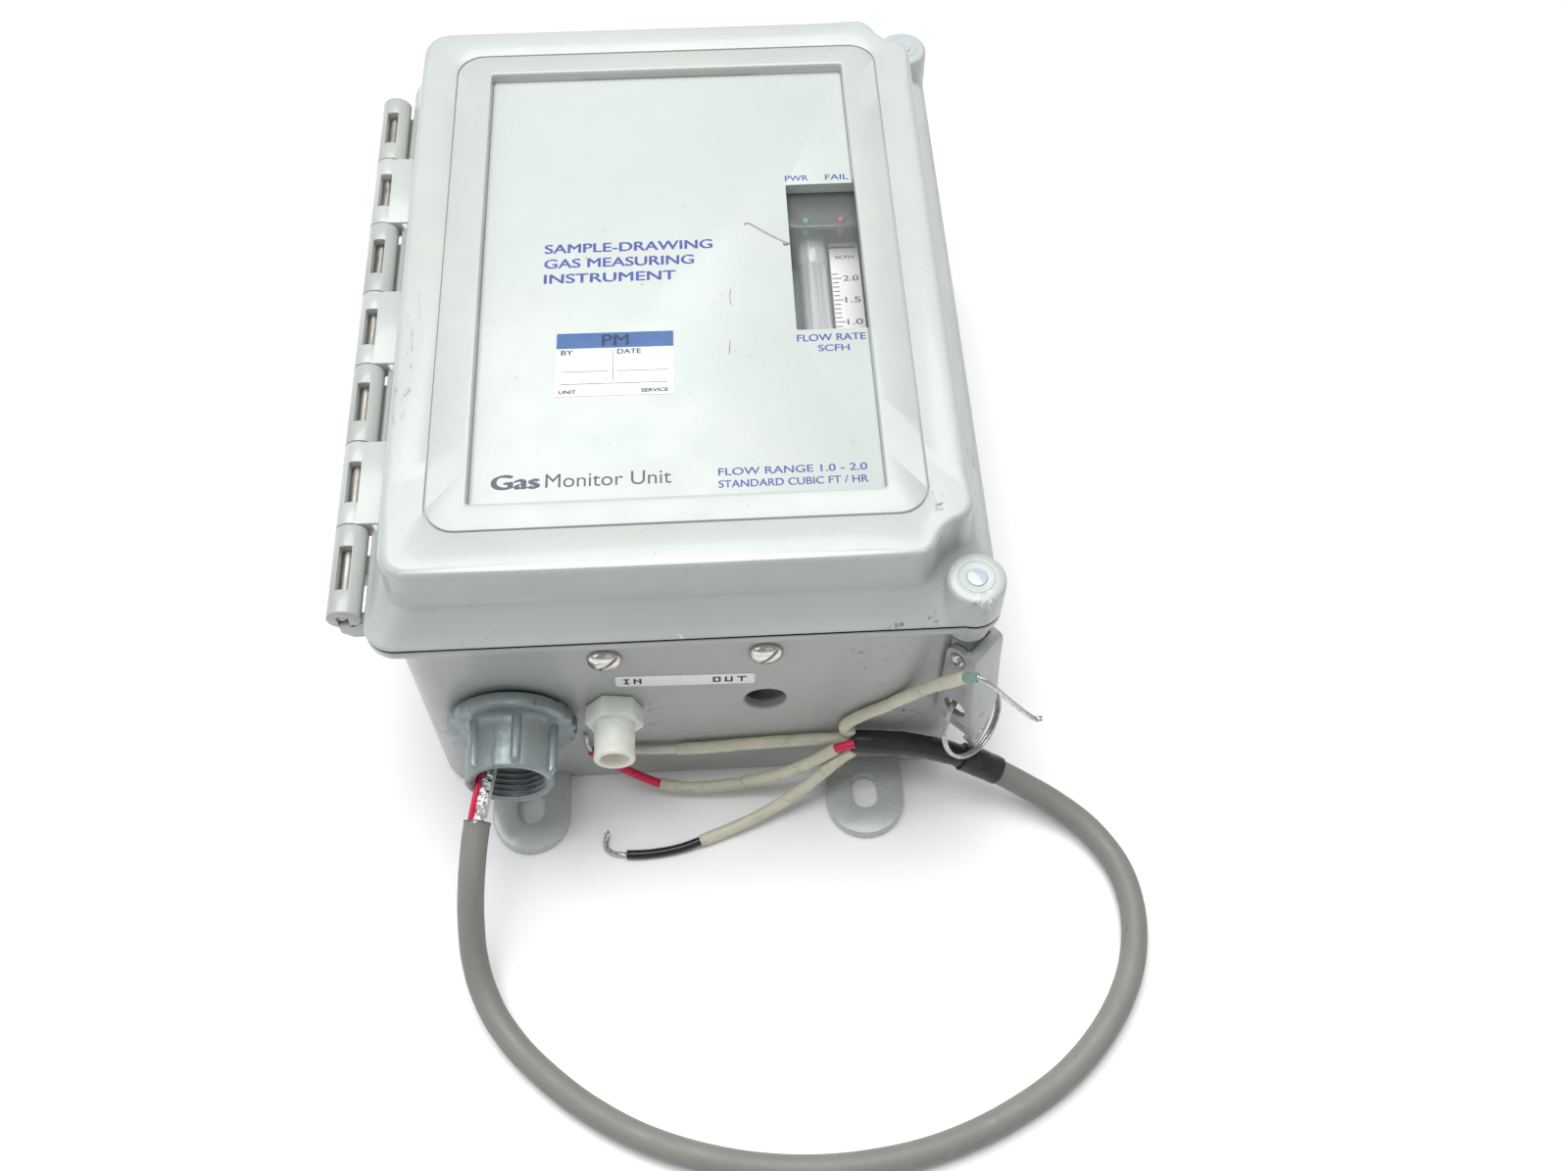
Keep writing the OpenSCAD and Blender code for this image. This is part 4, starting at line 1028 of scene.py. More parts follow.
def build_metal():
    steel = metal("hinge_pin_steel", (0.40, 0.38, 0.345), 0.48, (0.26, 0.215, 0.15), 0.5, (1, 0.3, 1),
                  scale=250)
    half = KNUCKLE * 3.5 - 0.6
    ends = -HINGE_Y - half, -HINGE_Y + half
    rod = lathe([(1.1, ends[0]), (PIN_R, ends[0] + 0.5), (PIN_R, ends[1] - 0.5), (1.1, ends[1])], 24)
    pin = piece("hinge_pin_rod", *along_y(rod, HINGE_X, HINGE_Z), "base", steel)
    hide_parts("hinge_pin")
    bright = metal("pin_stainless", (0.62, 0.62, 0.60), 0.24, (0.2, 0.17, 0.13), 0.45, scale=500)
    for rear in (False, True):
        key = "rear" if rear else "front"
        m = at_corner(rear) @ Matrix.Translation((PIVOT_U, 0, PIVOT_Z)) @ Matrix.Rotation(radians(90), 4, "X")
        half = [(PIN_R, 6.4), (2.3, 6.5), (2.3, 6.8), (1.9, 7.4), (1.2, 7.75), (0.4, 7.85)]
        shape = lathe([(r, -h) for r, h in reversed(half)] + half, 32)
        obj = piece("latch_pin_%s_rivet" % key, *moved(shape, m), "base", bright)
        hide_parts("latch_pin_" + key)
    wire = metal("ring_wire", (0.60, 0.58, 0.54), 0.26, (0.16, 0.12, 0.08), 0.55, scale=700)
    turns, ring_r, path = 2, 12.4, []
    for i in range(181):
        t = i / 180
        a = 2 * pi * turns * t - pi * 0.65
        step = 0.52 * (2 * smoothstep((t - 0.40) / 0.2) - 1)
        path.append(Vector((11.2 + ring_r * cos(a), ring_r * sin(a), step)))
    m = at_corner() @ Matrix.Translation((RING_U, 0, RING_Z)) @ Matrix.Rotation(radians(90 - RING_TILT), 4, "Y")

    def wire_radius(t, a):
        return 0.55 * (1 - 0.6 * max(0, 1 - min(t, 1 - t) / 0.006))
    ring = piece("split_ring_wire", *sweep([m @ p for p in path], wire_radius, 12), "ring", wire, 60)
    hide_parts("split_ring")


def latch(rear):
    """Lever of a corner latch: a bent channel with its eye, trimmed to its front outline."""
    key, s = ("rear", -1) if rear else ("front", 1)
    wear_at = BOSS[0] + 6, (BOSS[1] - 6) * s
    mat = moulded("latch_zinc_" + key, (0.41, 0.43, 0.42), 0.42, [((*wear_at, 50), (10, 10, 34))],
                  [((*wear_at, 30), (8, 8, 10))], spec=0.6)
    side = [(-1.3, 76), (-1.3, 41), (-0.6, 39.2), (5.6, 29.4), (10.4, 23.1), (11.3, 22.6), (11.7, 23.6),
            (11.95, 30), (11.9, 34), (11.2, 48), (9.6, 64), (8.7, 77.6), (8.2, 79.3), (7.2, 80), (4.8, 80)] \
        + arc(PIVOT_U, PIVOT_Z, 4.0, 70, 178, 8)
    body = piece("latch_%s_lever" % key, *prism(side, -6.2, 6.2, "xz"), None, mat)
    front = [(-6.2, 90), (-6.2, 41.6), (-5.7, 38.6), (-1.8, 24.4), (-0.9, 23.2), (0.9, 23.2), (1.8, 24.4),
             (5.7, 38.6), (6.2, 41.6), (6.2, 90)]
    combine(body, [cutter(prism(front, -20, 30, "yz"))], "INTERSECT")
    pocket = [(-3, 90), (-3, 20), (6, 20), (9.4, 33), (9.2, 48), (7.7, 64), (6.9, 78.2)]
    combine(body, [cutter(prism(pocket, -4.4, 4.4, "xz")),
                   cutter(prism(arc(PIVOT_U, PIVOT_Z, PIN_R + 0.08, 0, 345, 23), -9, 9, "xz")),
                   cutter(prism(arc(EYE_U, EYE_Z, 3.9, 0, 350, 35), -9, 9, "xz"))])
    soften(body, 0.45, 3)
    body.data.transform(Matrix.Scale(MM, 4) @ at_corner(rear) @ Matrix.Scale(1 / MM, 4))
    if rear:
        body.data.flip_normals()
    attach(body, "latch_" + key)
    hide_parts("latch_" + key)


build_metal()
latch(False)
latch(True)


# ---------------------------------------------------------------- fittings in the front wall

def hub_rings():
    """Flange with a coarse gripped rim, barrel, mouth, turned thread, and the end inside the box."""
    n, mouth, rings = 96, -HUB_MOUTH, []
    for r, z in ((15.8, 1.2), (17.6, 1.2), (18.3, 1.6), (18.6, 2.2), (18.6, 4.4), (18.3, 5.2), (17.5, 5.6),
                 (15.4, 5.7), (13.8, 6.0), (13.1, 6.8)):
        ring, h = [], WALL_D + z
        for i in range(n):
            a = 2 * pi * i / n
            grip = smoothstep(abs(cos(a)) * 2.6 - 1.7) if z < 5.5 and r > 17 else 0
            notch = 0.45 * grip * (1 if i % 4 < 2 else -1)
            rough = 0.12 * noise.noise(Vector((cos(a) * 9, sin(a) * 9, h))) if r > 15 else 0
            ring.append(((r + notch + rough) * cos(a), (r + notch + rough) * sin(a), h))
        rings.append(ring)
    rings += [circle(r, h, n) for r, h in (
        (12.95, WALL_D + 9), (12.8, mouth - 1.2), (12.55, mouth - 0.35), (12.2, mouth), (11.3, mouth),
        (10.85, mouth - 0.4))]
    pitch, steps, thread_end = 1.81, 8, 113.5
    for k in range(int((mouth - 0.6 - thread_end) / pitch * steps) + 1):
        ring, h = [], mouth - 0.5 - k * pitch / steps
        for i in range(n):
            a = 2 * pi * i / n
            phase = ((mouth - h) / pitch + i / n) % 1.0
            tooth = 1 - abs(2 * phase - 1)
            r = 9.95 + 0.95 * smoothstep(tooth * 1.15) - 0.02 * (mouth - h)
            ring.append((r * cos(a), r * sin(a), h))
        rings.append(ring)
    return rings + [circle(r, h, n) for r, h in (
        (8.4, 113.2), (8.2, 112.8), (8.2, 95), (9.9, 94.4), (10.5, 95.2), (10.5, 108.2), (13, 108.2))]


def build_hub():
    zinc = Nodes("hub_zinc", (0.26, 0.305, 0.315), 0.44, 0.6)
    base = zinc.layer((0.24, 0.285, 0.295), (0.37, 0.41, 0.415), (60, 5, 0.6, (1, 0.3, 1)), 0.35, 0.7)
    base = zinc.layer(base, (0.62, 0.65, 0.65), (420, 4, 0.7, (1, 0.2, 1)), 0.62, 0.72, 0.0, 0.5)
    base = zinc.layer(base, (0.09, 0.10, 0.10), (260, 4, 0.6, (1, 0.2, 1)), 0.60, 0.74, 0.0, 0.6)
    zinc.paint(base)
    zinc.rough((300, 3), 0.36, 0.62)
    zinc.bump((500, 4), 0.3, 0.2)
    shape = along_y(loft(hub_rings(), False, False), HUB_X, HUB_Z)
    hub = piece("conduit_hub_casting", *shape, "base", zinc.mat, 40)
    outline = [(11.8, -1.7), (13.6, -1.25), (14.15, -0.7), (14.2, 0.7), (13.6, 1.25), (11.8, 1.7)]
    low, high = WALL_D + 5.2, -HUB_MOUTH - 0.7
    rib = loft([[(x * 1.02, y, low) for x, y in outline], [(x, y, high - 1.6) for x, y in outline],
                [(11.8 + (x - 11.8) * 0.45, y * 0.9, high) for x, y in outline]])
    ribs = []
    for i in range(6):
        turned = moved(rib, Matrix.Rotation(radians(i * 60 + 16), 4, "Z"))
        ribs.append(piece("rib", *along_y(turned, HUB_X, HUB_Z), None, zinc.mat, 40))
    join(hub, [soften(r, 0.3, 2) for r in ribs])
    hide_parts("conduit_hub")
    # serrated sealing ring behind the flange
    rubber = plain("seal_rubber", (0.018, 0.020, 0.022), 0.5, 0.3, 200, 0.3)
    rings = [toothed(r, WALL_D + z, 144, depth, 2) for r, z, depth in (
        (13.6, 0.02, 0), (16.6, 0.02, 0), (16.8, 0.3, 0.45), (16.8, 1.0, 0.45), (16.4, 1.2, 0), (13.6, 1.2, 0))]
    rings.append(rings[0])
    seal = piece("hub_seal_serrated", *along_y(loft(rings, False, False), HUB_X, HUB_Z), "base", rubber)
    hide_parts("hub_seal_ring")


def build_inlet():
    nylon = Nodes("inlet_nylon", (0.86, 0.87, 0.82), 0.32, spec=0.45, Subsurface_Weight=0.15)
    nylon.paint(nylon.layer((0.87, 0.865, 0.79), (0.78, 0.76, 0.66), (140, 4), 0.35, 0.7))
    nylon.rough((300, 3), 0.28, 0.44)
    nylon.bump((900, 2), 0.15, 0.05)
    hexagon = lathe([(7.9, 0.0), (8.8, 0.5), (8.8, 6.0), (8.1, 6.6), (6.4, 6.6)], 6)
    turned = moved(hexagon, Matrix.Translation((0, 0, WALL_D)) @ Matrix.Rotation(radians(-12), 4, "Z"))
    hex_part = piece("hex", *along_y(turned, INLET_X, PORT_Z), None, nylon.mat, 30)
    n = 64
    profile = [(5.0, 104), (6.2, WALL_D + 6.2), (5.95, WALL_D + 7.2), (5.9, 120.8), (5.7, 121.1), (5.7, 121.4),
               (6.0, 121.6), (6.05, 123.4), (5.9, 123.85), (5.5, 124.0), (4.5, 124.0), (4.25, 123.7),
               (4.2, 117), (2.7, 116.2), (2.6, 92.7), (4.6, 92.6), (4.95, 93), (4.95, 104)]
    verts, faces = lathe(profile, n, (False, False))
    last = (len(profile) - 1) * n
    faces += [(last + i, last + (i + 1) % n, (i + 1) % n, i) for i in range(n)]
    fitting = piece("inlet_hose_fitting", *along_y((verts, faces), INLET_X, PORT_Z), None, nylon.mat, 45)
    join(fitting, [soften(hex_part, 0.35, 2)])
    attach(fitting, "base")
    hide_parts("inlet_fitting")


def build_screws():
    steel = metal("screw_steel", (0.72, 0.70, 0.66), 0.16, (0.16, 0.13, 0.09), 0.4, scale=700, bump=0.15)
    heads = []
    for x, turn in zip(SCREW_XS, (40, 46)):
        dome = [(2.35, 95.6), (2.35, WALL_D), (4.3, WALL_D), (4.75, WALL_D + 0.15), (4.9, WALL_D + 0.55)]
        dome += [(4.9 * cos(radians(a)), WALL_D + 0.55 + 2.35 * sin(radians(a))) for a in range(12, 90, 11)]
        head = piece("head", *along_y(lathe(dome + [(0.3, WALL_D + 2.9)], 56), x, SCREW_Z), None, steel, 50)
        slot = moved(block(-6, 6, -4, -1.15, -0.55, 0.55), Matrix.Translation((x, WALL_Y, SCREW_Z))
                     @ Matrix.Rotation(radians(-turn), 4, "Y"))
        combine(head, [cutter(slot)], angle=50)
        heads.append(soften(head, 0.12, 2, 40))
    screws = join(heads[0], heads[1:])
    screws.name = "wall_screw_heads"
    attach(screws, "base")
    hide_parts("wall_screws")


GLYPHS = {"I": ("111", "010", "010", "010", "111"), "N": ("1001", "1101", "1011", "1001", "1001"),
          "O": ("1111", "1001", "1001", "1001", "1111"), "U": ("1001", "1001", "1001", "1001", "1111"),
          "T": ("11111", "00100", "00100", "00100", "00100")}


def build_tape():
    """Strip of lettering tape with its words in raised dots."""
    tape = plain("lettering_tape", (0.90, 0.90, 0.89), 0.28, 0.05, 60, 0.1)
    outline = rounded(20, 3, 0.8, 4)
    place = Matrix.Translation((-1.2, WALL_Y, 62.6)) @ Matrix.Rotation(radians(2.1), 4, "Y")
    strip = [[(x * sx, y, z * sz) for x, z in outline] for y, sx, sz in ((-0.02, 1, 1), (-0.13, 1, 1),
                                                                         (-0.15, 0.998, 0.985))]
    band = piece("port_tape_strip", *moved(loft(strip), place), "base", tape)
    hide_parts("port_tape")
    ink = plain("tape_ink", (0.02, 0.02, 0.05), 0.5, 0.3, 300)
    dots, dot_w, dot_h = [], 0.55, 0.6
    for word, x in (("IN", -17.4), ("OUT", 8.2)):
        for rows in (GLYPHS[letter] for letter in word):
            for r, row in enumerate(rows):
                for c in (c for c, bit in enumerate(row) if bit == "1"):
                    cx, cz = x + c * dot_w, 1.2 - r * dot_h
                    dots.append(block(cx - 0.3, cx + 0.3, -0.18, -0.14, cz - 0.32, cz + 0.32))
            x += len(rows[0]) * dot_w + 1.25
    piece("port_tape_print", *moved(merge(*dots), place), "base", ink, 180)


build_hub()
build_inlet()
build_screws()
build_tape()


# ---------------------------------------------------------------- feet

def build_feet():
    mat = moulded("foot_zinc", (0.46, 0.485, 0.475), 0.26, [((0, 0, 4), (90, 160, 3))], [], spec=0.7)
    plate = [(-12, 82), (12, 82)] + arc(0, 120.3, 12, 0, 180, 28)
    step = [(-13, 80), (13, 80), (13, 106.4), (-13, 106.4)]
    slot = arc(0, FOOT_Y + 1.6, 4.15, 0, 180, 14) + arc(0, FOOT_Y - 1.6, 4.15, 180, 360, 14)
    screw = shifted(lathe([(4.4, -0.1), (2.6, 1.9), (2.6, 6)], 32), 0, FOOT_SCREW_Y)
    for number, (sx, sy) in enumerate(((-1, -1), (-1, 1), (1, -1), (1, 1)), 1):
        foot = piece("foot_%d_plate" % number, *prism(plate, 0, 4), None, mat)
        combine(foot, [cutter(prism(step, 2.6, 6)), cutter(prism(slot, -1, 8)), cutter(screw)])
        soften(foot, 0.6, 3, 40)
        m = Matrix.Translation((sx * FOOT_X, 0, 0)) @ Matrix.Scale(sy, 4, (0, 1, 0))
        foot.data.transform(Matrix.Scale(MM, 4) @ m @ Matrix.Scale(1 / MM, 4))
        if sy < 0:
            foot.data.flip_normals()
        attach(foot, "base")
        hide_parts("foot_%d" % number)


build_feet()


# ---------------------------------------------------------------- faceplate, print and sticker

PRINT_Z = FLOOR_Z + 0.41    # on the faceplate


def build_faceplate():
    mint = Nodes("faceplate_polycarbonate", (0.505, 0.55, 0.525), 0.3, spec=0.45)
    base = mint.layer((0.505, 0.55, 0.525), (0.53, 0.565, 0.545), (12, 4), 0.35, 0.65)
    base = mint.layer(base, (0.49, 0.53, 0.50), (40, 3), 0.5, 0.75, 0.0, 0.5)
    base = mint.layer(base, (0.22, 0.20, 0.16), (620, 2, 0.5), 0.735, 0.77, 0.0, 0.75)
    smear = mint.math("MULTIPLY", mint.cloud((190, 4, 0.7, (1, 3, 1), 0.8), 0.62, 0.70, 0.0, 0.5),
                      mint.spots([((18, -20, 117), (30, 60, 6)), ((-20, -60, 117), (30, 16, 6))]))
    mint.paint(mint.mix(smear, base, (0.40, 0.40, 0.37)))
    mint.rough((80, 4), 0.24, 0.42)
    mint.bump((35, 3), 0.1, 0.3)
    mint.bump((1300, 2), 0.08, 0.04)
    x, y, c = 55.3, 82.4, 0.8    # half sizes and corner cut
    wx, (wy0, wy1) = WIN_X[0], WIN_Y
    outline = [(x, wy0 - 0.02), (wx + 0.5, wy0 - 0.02), (wx, wy0 + 0.4), (wx, wy1 - 0.4), (wx + 0.5, wy1),
               (x, wy1), (x, y - c), (x - c, y), (-x + c, y), (-x, y - c), (-x, -y + c), (-x + c, -y),
               (x - c, -y), (x, -y + c)]
    plate = piece("faceplate_label", *prism(outline, FLOOR_Z + 0.02, FLOOR_Z + 0.4), None, mint.mat)
    soften(plate, 0.12, 2)
    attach(plate, "lid")
    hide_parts("faceplate")


def build_print():
    """The faceplate's lettering, a stray fibre and a few scratches."""
    blue = plain("print_blue", (0.06, 0.085, 0.33), 0.5, 0.25, 300, 0.05)
    grey = plain("print_grey", (0.085, 0.095, 0.13), 0.5, 0.25, 300, 0.05)
    for key, text, tall, x, y, mat, wide, bold in (
            ("title_1", "SAMPLE-DRAWING", 3.5, -37.3, 8.0, blue, 49.2, 0.14),
            ("title_2", "GAS MEASURING", 3.5, -37.3, 2.1, blue, 43.6, 0.14),
            ("title_3", "INSTRUMENT", 3.5, -37.3, -3.8, blue, 38.2, 0.14),
            ("pwr", "PWR", 2.2, 35.0, 34.4, blue, 7.0, 0.05),
            ("fail", "FAIL", 2.2, 47.3, 34.4, blue, 7.0, 0.05),
            ("flow_rate", "FLOW RATE", 2.5, 34.9, -29.2, blue, 19.5, 0.07),
            ("unit", "SCFH", 2.3, 40.7, -33.0, blue, 8.8, 0.07),
            ("name_bold", "Gas", 4.6, -49.4, -76.3, grey, 12.5, 0.34),
            ("name_plain", "Monitor Unit", 4.4, -35.2, -76.3, grey, 33.6, 0.0),
            ("note_1", "FLOW RANGE 1.0 - 2.0", 2.35, 11.0, -74.6, blue, 40.0, 0.06),
            ("note_2", "STANDARD CUBIC FT / HR", 2.35, 11.0, -78.6, blue, 40.0, 0.06)):
        lettering("print_" + key, text, tall, (x, y, PRINT_Z), "lid", mat, wide, bold)

    fibre = plain("stray_fibre", (0.46, 0.43, 0.37), 0.6, 0.2, 300)
    hair = [(x, y, PRINT_Z + lift) for x, y, lift in (
        (21.6, 16.9, 0.2), (23.4, 17.0, 0.3), (28.6, 12.6, 0.5), (33.4, 9.2, 0.3), (35.0, 8.4, 0.1))]
    piece("faceplate_fibre", *sweep(route_points(hair, 6), 0.13, 6), "lid", fibre)
    dark = plain("scratch_dark", (0.16, 0.15, 0.14), 0.6, 0.3, 300)
    scratches = []
    for r, mark in ((0.09, ((16.8, -8.6), (16.4, -11.4), (16.7, -14.6))),
                    (0.1, ((15.9, -28.0), (15.6, -31.0), (15.5, -32.6))),
                    (0.26, ((33.0, 8.6), (33.6, 8.0), (34.4, 8.5)))):
        scratches.append(sweep(route_points([(x, y, PRINT_Z) for x, y in mark], 4), r, 6))
    piece("faceplate_scratches", *merge(*scratches), "lid", dark)


def build_sticker():
    """Service sticker: white paper, slightly cockled, with a blue band and ruled boxes."""
    paper = plain("sticker_paper", (0.72, 0.725, 0.735), 0.42, 0.05, 60, 0.1, dirt=(0.62, 0.60, 0.55))
    turn, w, h, grid = -0.6, 33.0, 22.8, 12
    m = Matrix.Translation((-33.4, -45.8, PRINT_Z)) @ Matrix.Rotation(radians(turn), 4, "Z")
    verts, faces = [], []
    for side in (0, 1):
        for i in range(grid + 1):
            for j in range(grid + 1):
                x, y = w * i / grid, h * j / grid
                lift = 0.03 * noise.noise(Vector((x * 0.12, y * 0.12, 1)))
                verts.append((x, y, (0.12 + lift) if side else 0.0))
    n = grid + 1
    top = n * n
    for i in range(grid):
        for j in range(grid):
            a = i * n + j
            faces += [(a, a + 1, a + n + 1, a + n), (top + a, top + a + n, top + a + n + 1, top + a + 1)]
    for i in range(grid):
        for a, b in ((i * n, (i + 1) * n), ((i + 1) * n + grid, i * n + grid), (i + 1, i),
                     (grid * n + i, grid * n + i + 1)):
            faces.append((a, b, top + b, top + a))
    sticker = piece("service_sticker_paper", *moved((verts, faces), m), "lid", paper, 60)
    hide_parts("service_sticker")
    band_mat = plain("sticker_blue", (0.045, 0.125, 0.33), 0.4, 0.2, 120, 0.1)
    ink = plain("sticker_ink", (0.012, 0.03, 0.12), 0.5, 0.3, 300, 0.05)
    rule = plain("sticker_rule", (0.05, 0.06, 0.12), 0.5, 0.3, 300, 0.05)
    band = block(0.02, w - 0.02, h - 5.7, h - 0.15, 0.05, 0.20)
    piece("sticker_band", *moved(band, m), "lid", band_mat)
    for key, text, tall, at, mat, wide, bold, centre in (
            ("band_print", "PM", 3.9, (16.6, h - 4.9, 0.21), ink, 7.4, 0.14, True),
            ("by", "BY", 1.7, (1.4, h - 8.0, 0.18), rule, 3.3, 0.06, False),
            ("date", "DATE", 1.7, (17.2, h - 8.0, 0.18), rule, 6.6, 0.06, False),
            ("foot_1", "UNIT", 1.2, (1.2, 0.9, 0.18), rule, 4.6, 0.06, False),
            ("foot_2", "SERVICE", 1.2, (24.0, 0.9, 0.18), rule, 7.4, 0.06, False)):
        lettering("sticker_" + key, text, tall, tuple(m @ Vector(at)), "lid", mat, wide, bold, turn=turn,
                  centre=centre)
    rules = [block(*box, 0.14, 0.19) for box in ((1.4, 14.8, 8.6, 8.72), (17.2, 31.4, 8.6, 8.72),
                                                 (1.4, 31.4, 4.2, 4.32), (16.0, 16.12, 5.2, h - 6.4))]
    piece("sticker_rules", *moved(merge(*rules), m), "lid", rule, 180)


build_faceplate()
build_print()
build_sticker()


# ---------------------------------------------------------------- what shows through the window

LAMP_XS, LAMP_Y = (41, 51.9), 28.2
KNOB_Y = -61
CARD_TOP = 96.61


def build_pane_and_lamps():
    pane = Nodes("window_acrylic", (0.90, 0.95, 0.95), 0.03, spec=0.5, Alpha=0.07, IOR=1.49)
    pane.rough((120, 3), 0.03, 0.16, (0.45, 0.75))
    pane.bump((40, 3), 0.1, 0.3)
    (x0, x1), (y0, y1), lap = WIN_X, WIN_Y, 3
    sheet = prism(rounded((x1 - x0) / 2 + lap, (y1 - y0) / 2 + lap, 1.2, 5), CEIL_Z - 2, CEIL_Z - 0.02)
    glass = piece("window_pane_sheet", *shifted(sheet, (x0 + x1) / 2, (y0 + y1) / 2), None, pane.mat)
    soften(glass, 0.2, 2)
    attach(glass, "lid")
    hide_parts("window_pane")

    dark = moulded("lamp_panel_black", (0.055, 0.057, 0.060), 0.45, [((46, 30, 107), (16, 12, 3))], [], 0.4)
    panel = piece("lamp_panel_moulding", *block(33.5, 59, 25.4, 39.4, 105.6, 107), None, dark)
    hole = lathe([(1.2, 101), (1.2, 106.6), (1.6, 107.2)], 28)
    combine(panel, [cutter(shifted(hole, x, LAMP_Y)) for x in LAMP_XS])
    soften(panel, 0.35, 2)
    legs = []
    for x in (35.4, 57.1):
        leg = piece("leg", *block(x - 1, x + 1, 37.4, 39.4, 16.6, 105.8), None, dark)
        legs.append(soften(leg, 0.25, 2))
    join(panel, legs)
    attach(panel, "base")
    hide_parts("lamp_panel")
    r, dome_z = 1.05, 106.8
    shape = [(0.8, 101.4), (r, 101.6), (r, dome_z)]
    shape += [(r * cos(radians(a)), dome_z + r * sin(radians(a))) for a in range(15, 90, 15)] + [(0.1, 107.85)]
    for x, key, colour, glow in ((LAMP_XS[0], "green", (0.10, 0.30, 0.22), (0.1, 0.9, 0.6)),
                                 (LAMP_XS[1], "red", (0.42, 0.07, 0.05), (1.0, 0.12, 0.08))):
        m = Nodes("lamp_%s_lens" % key, colour, 0.1, Transmission_Weight=0.25, IOR=1.5,
                  Emission_Color=(*glow, 1), Emission_Strength=0.06)
        m.paint(m.layer(colour, tuple(min(1, c * 1.35) for c in colour), (1500, 2), 0.4, 0.6))
        lens = piece("lamp_%s_bulb" % key, *shifted(lathe(shape, 32), x, LAMP_Y), "base", m.mat, 60)
        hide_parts("lamp_" + key)


def build_flow_meter():
    """Acrylic flow block with its valve boss and posts, the tube, the float and the valve knob."""
    acrylic = Nodes("flow_block_acrylic", (0.36, 0.38, 0.38), 0.14, spec=0.6, Transmission_Weight=0.25,
                    IOR=1.49)
    acrylic.paint(acrylic.layer((0.38, 0.40, 0.40), (0.54, 0.56, 0.555), (60, 3, 0.5, (3, 0.5, 1)), 0.3, 0.7))
    acrylic.rough((200, 3), 0.08, 0.22)
    body = piece("flow_block_body", *block(36, 58, -66, 24, 78, 90), None, acrylic.mat)
    boss = piece("boss", *block(38, 48, -66, -54, 88, 101), None, acrylic.mat)
    combine(body, [cutter(along_y(lathe([(4.7, -26), (4.7, 55.5)], 48), TUBE_X, TUBE_Z))])
    soften(body, 0.5, 2)
    bore = lathe([(4.7, 40), (4.7, 55.5), (1.6, 55.6), (1.6, 64)], 48)
    combine(boss, [cutter(along_y(bore, TUBE_X, TUBE_Z))])
    soften(boss, 0.4, 2)
    posts = [piece("post", *block(42, 52, y, y + 6, 16.6, 78.2), None, acrylic.mat) for y in (-42, 12)]
    join(body, [boss] + [soften(post, 0.4, 2) for post in posts])
    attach(body, "base")
    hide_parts("flow_block")

    tube = Nodes("flow_tube_acrylic_painted_highlights", (0.60, 0.615, 0.62), 0.12, Transmission_Weight=0.30, IOR=1.49, spec=0.7)
    # the pale streaks along the tube's length are painted highlights laid into its colour
    tube.paint(tube.layer((0.50, 0.51, 0.52), (0.86, 0.86, 0.87), (300, 3, 0.5, (2.5, 0.05, 2.5)), 0.32, 0.68))
    tube.rough((240, 3), 0.08, 0.2)
    profile = [(3.1, 55.3), (4.3, 55.4), (4.55, 55.0), (4.55, -16.8), (4.15, -17.2), (4.15, -18.4),
               (4.55, -18.8), (4.55, -28.6)]
    profile += [(4.5 * cos(radians(a)), -29.0 - 4.5 * sin(radians(a))) for a in range(10, 90, 13)]
    shape = along_y(lathe(profile + [(0.3, -33.5)], 56, (False, True)), TUBE_X, TUBE_Z)
    bore = lathe([(3.1, 55.3), (3.1, -21.0), (1.5, -23.0), (0.2, -23.4)], 56, (False, True))
    glass = piece("flow_tube_body", *merge(shape, along_y(bore, TUBE_X, TUBE_Z)), "base", tube.mat, 50)
    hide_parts("flow_tube")

    bead = plain("float_black", (0.02, 0.02, 0.022), 0.25, 0.3, 400)
    r = 2.8
    waist = [(r * cos(radians(a)), r * sin(radians(a))) for a in range(-78, 79, 12)]
    ball = lathe([(0.3, -r)] + waist + [(0.3, r)], 40)
    ball = piece("flow_float_bead", *shifted(ball, TUBE_X, -48, TUBE_Z), "float", bead, 60)
    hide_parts("flow_float")

    black = plain("knob_black", (0.018, 0.018, 0.020), 0.4, 0.3, 300, 0.3)
    rings = [toothed(r, z, 96, grip, 4, 0) for r, z, grip in (
        (1.7, 92.1, 0), (1.7, 101.3, 0), (5.2, 101.4, 0), (5.9, 101.9, 0.22), (6.0, 108.2, 0.3),
        (5.6, 109.1, 0.15), (5.0, 109.4, 0), (3.6, 109.3, 0), (3.3, 109.0, 0))]
    knob = piece("flow_knob_knurled", *shifted(loft(rings), TUBE_X, KNOB_Y), "knob", black, 40)
    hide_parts("flow_knob")
    mark = block(-0.35, 0.35, 1.2, 4.8, 109.2, 109.46)
    white = plain("knob_mark", (0.85, 0.85, 0.83), 0.4)
    piece("flow_knob_pointer", *shifted(mark, TUBE_X, KNOB_Y), "knob", white)


